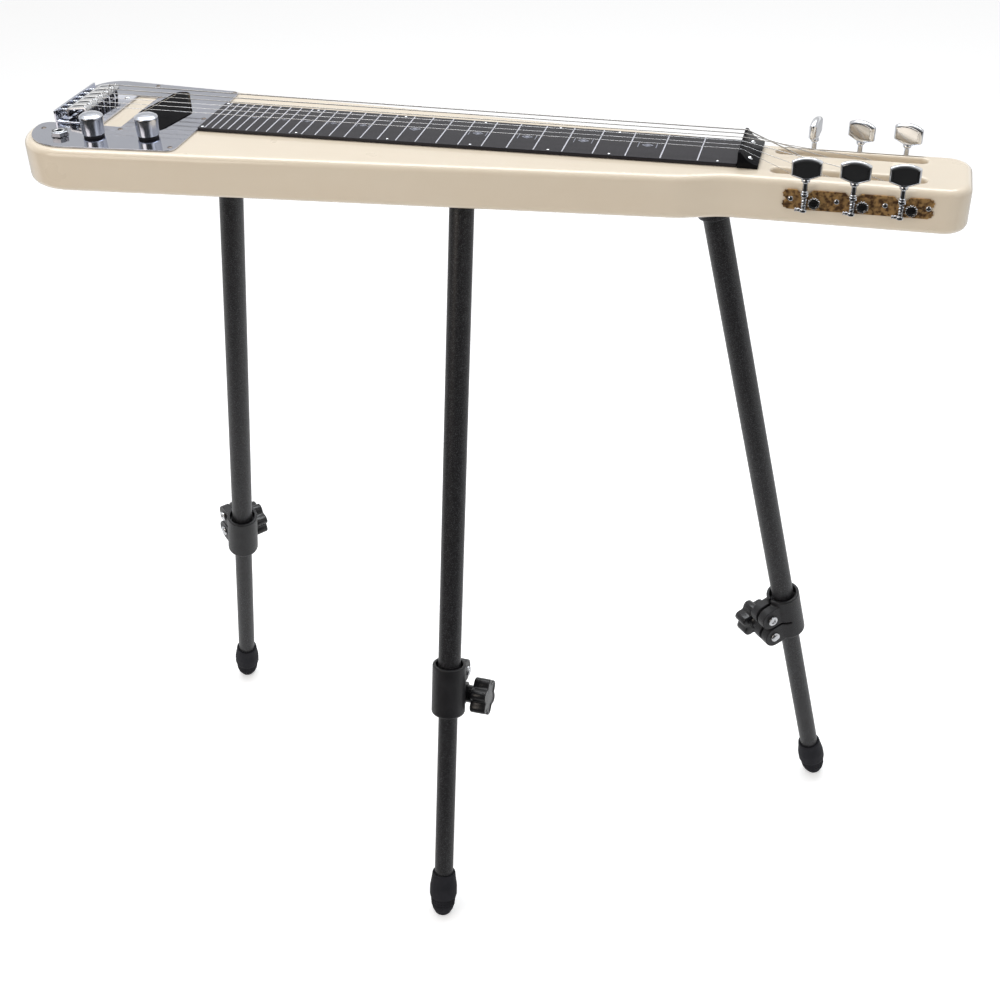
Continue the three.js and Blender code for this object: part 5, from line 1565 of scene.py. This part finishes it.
socket_head = [(0, -1.1), (2.4, -1.1), (2.7, -bolt_head_length), (bolt_head, -bolt_head_length)]
socket_head += [(bolt_head, 0), (0, 0)]
socket_head = [(radius, -seat + rise) for radius, rise in socket_head]
round_head = [(0, -2.4), (3.0, -2.2), (4.6, -1.5), (bolt_head, -0.5), (bolt_head, 0), (0, 0)]
round_head = [(radius, -seat + rise) for radius, rise in round_head]


star_look = Finish("star_knob_black", {"Specular IOR Level": 0.5})
star_grain = star_look.noise(900.0, detail=2.0)
star_look.color(star_grain, (0.006, 0.006, 0.007), (0.018, 0.018, 0.02))
star_look.feed("Roughness", 0.2 + 0.1 * star_grain)
star_look.bump(star_grain, 0.1, 0.0003)


def star_ring(share, shrink=0.0):
    steps = star_lobes * 16
    ring = []
    for k in range(steps):
        turn = 2 * math.pi * k / steps
        wave = (1 - math.cos(star_lobes * turn)) / 2
        reach = (star_radius - shrink - star_valley * wave ** 1.3) * share
        ring.append(Vector((reach * math.cos(turn), reach * math.sin(turn))))
    return ring


def star_grip():
    form = bmesh.new()
    levels = [(star_ring(0.3), star_end - 0.7), (star_ring(0.62), star_end - 0.9)]
    levels += [(star_ring(0.8), star_end - 1.1), (star_ring(0.86), star_end - 0.5)]
    levels += [(star_ring(0.91), star_end), (star_ring(1.0, 0.9), star_end - 0.05)]
    levels += [(star_ring(1.0, 0.3), star_end - 0.4), (star_ring(1.0), star_end - 1.2)]
    levels += [(star_ring(1.0), star_start + 1.6), (star_ring(1.0, 0.5), star_start + 0.5)]
    levels += [(star_ring(1.0, 1.6), star_start), (star_ring(0.4), star_start)]
    for edges in walled(form, levels):
        bmesh.ops.triangle_fill(form, use_beauty=True, edges=edges)
    return form


for name, place in legs.items():
    band = across_leg(softened(socket_head, [0.3, 0.4, 0.6, 0.2], 3), band_down)
    shank = across_leg(rod(bolt_radius, -seat, seat + shank_past), band_down, 32)
    band_nut = hex_nut(band_nut_across, seat, seat + bolt_head_length, bolt_radius)
    bolt = joined(band, shank, (band_nut, on_bolt(band_down)))
    piece = f"{name}_band_bolt"
    show(piece + "_plated", bolt, zinc, "instrument", [piece], place)

    hub_profile = [(0, seat), (hub_radius, seat), (hub_radius, star_start - 1.5)]
    hub_profile += [(hub_radius + 1.2, star_start + 0.5), (0, star_start + 0.5)]
    hub = across_leg(softened(hub_profile, [0.8, 1.5, 0.2], 4), clamp_down)
    knob = joined((star_grip(), on_bolt(clamp_down)), hub)
    body = f"{name}_clamp_knob"
    show(body + "_star", knob, star_look, body, [body], place, 50.0)
    head = across_leg(softened(round_head, [1.5, 1.5, 0.6, 0.2], 4), clamp_down)
    shaft = across_leg(rod(bolt_radius, -seat, star_start), clamp_down, 32)
    stud = joined(head, shaft)
    show(body + "_stud", stud, zinc, body, (), place)


# Feet. Each lower tube is pushed into a moulded rubber foot, which widens to a waist and then
# tapers through three rows of small grip blocks to a rounded end, cut level where it stands.
foot_profile = [
    (0, foot_top + 2.0), (lower_radius + tube_play, foot_top + 2.0),
    (lower_radius + tube_play, foot_top + 0.2), (lower_radius + 2.3, foot_top),
    (lower_radius + 2.9, foot_top + 5.5), (14.0, 722.0), (14.1, 731.4), (13.5, 734.2),
    (12.4, 734.9), (11.6, 744.6), (10.8, 748.9), (7.9, 754.4), (4.6, 757.2), (0, 758.2),
]
foot_bends = [0.1, 0.2, 0.8, 4.0, 5.0, 1.2, 0.4, 0.5, 2.0, 4.0, 3.5, 3.0]
grip_edge = 0.3
grips = Growth(
    "grip_blocks",
    Int=("Rows", "Per Row"),
    Float=("Top", "Pitch", "Top Radius", "Taper"),
    Vector=("Block",),
)
grip_count = grips.given("Rows") * grips.given("Per Row")
grip_index = grips.node("GeometryNodeInputIndex")
grip_row = grips.maths("FLOOR", (grip_index + 0.01) / grips.given("Per Row"))
grip_turn = (grip_index / grips.given("Per Row") + 0.5 * grip_row) * (2 * math.pi)
grip_reach = grips.given("Top Radius") - grip_row * grips.given("Taper")
grip_spot = grips.node(
    "ShaderNodeCombineXYZ",
    inputs={
        "X": grip_reach * grips.maths("COSINE", grip_turn),
        "Y": grip_reach * grips.maths("SINE", grip_turn),
        "Z": 0.0 - grips.given("Top") - grip_row * grips.given("Pitch"),
    },
)
grip_points = grips.node("GeometryNodeMeshLine", inputs={"Count": grip_count})
grip_points = grips.node("GeometryNodeSetPosition", inputs={0: grip_points, "Position": grip_spot})
grip_block = grips.node("GeometryNodeMeshCube", inputs={"Size": grips.given("Block")})
grip_around = grips.node("ShaderNodeCombineXYZ", inputs={"Z": grip_turn})
grips.finish(grip_points, grip_block, Rotation=grip_around)
grip_settings = {
    "Rows": 3,
    "Per Row": 22,
    "Top": 736.9,
    "Pitch": 3.3,
    "Top Radius": 12.0,
    "Taper": 0.3,
    "Block": (1.5, 2.3, 2.2),
    "Finish": rubber.material,
}
for name, place in legs.items():
    boot = hung(softened(foot_profile, foot_bends, 5), 72)
    blocks = grips.grow(grip_settings)
    edges = list(blocks.edges)
    bmesh.ops.bevel(blocks, geom=edges, offset=grip_edge, segments=2, affect="EDGES", profile=0.7)
    foot = trimmed(joined((boot, place), (blocks, place)), 0.0, -1.0)
    body = f"{name}_lower_leg"
    show(f"{name}_rubber_foot", foot, rubber, body, [f"{name}_foot"], Matrix(), 40.0)

for pattern in (pan_screw, cone_screw):
    bpy.data.objects.remove(pattern)

bpy.context.view_layer.update()
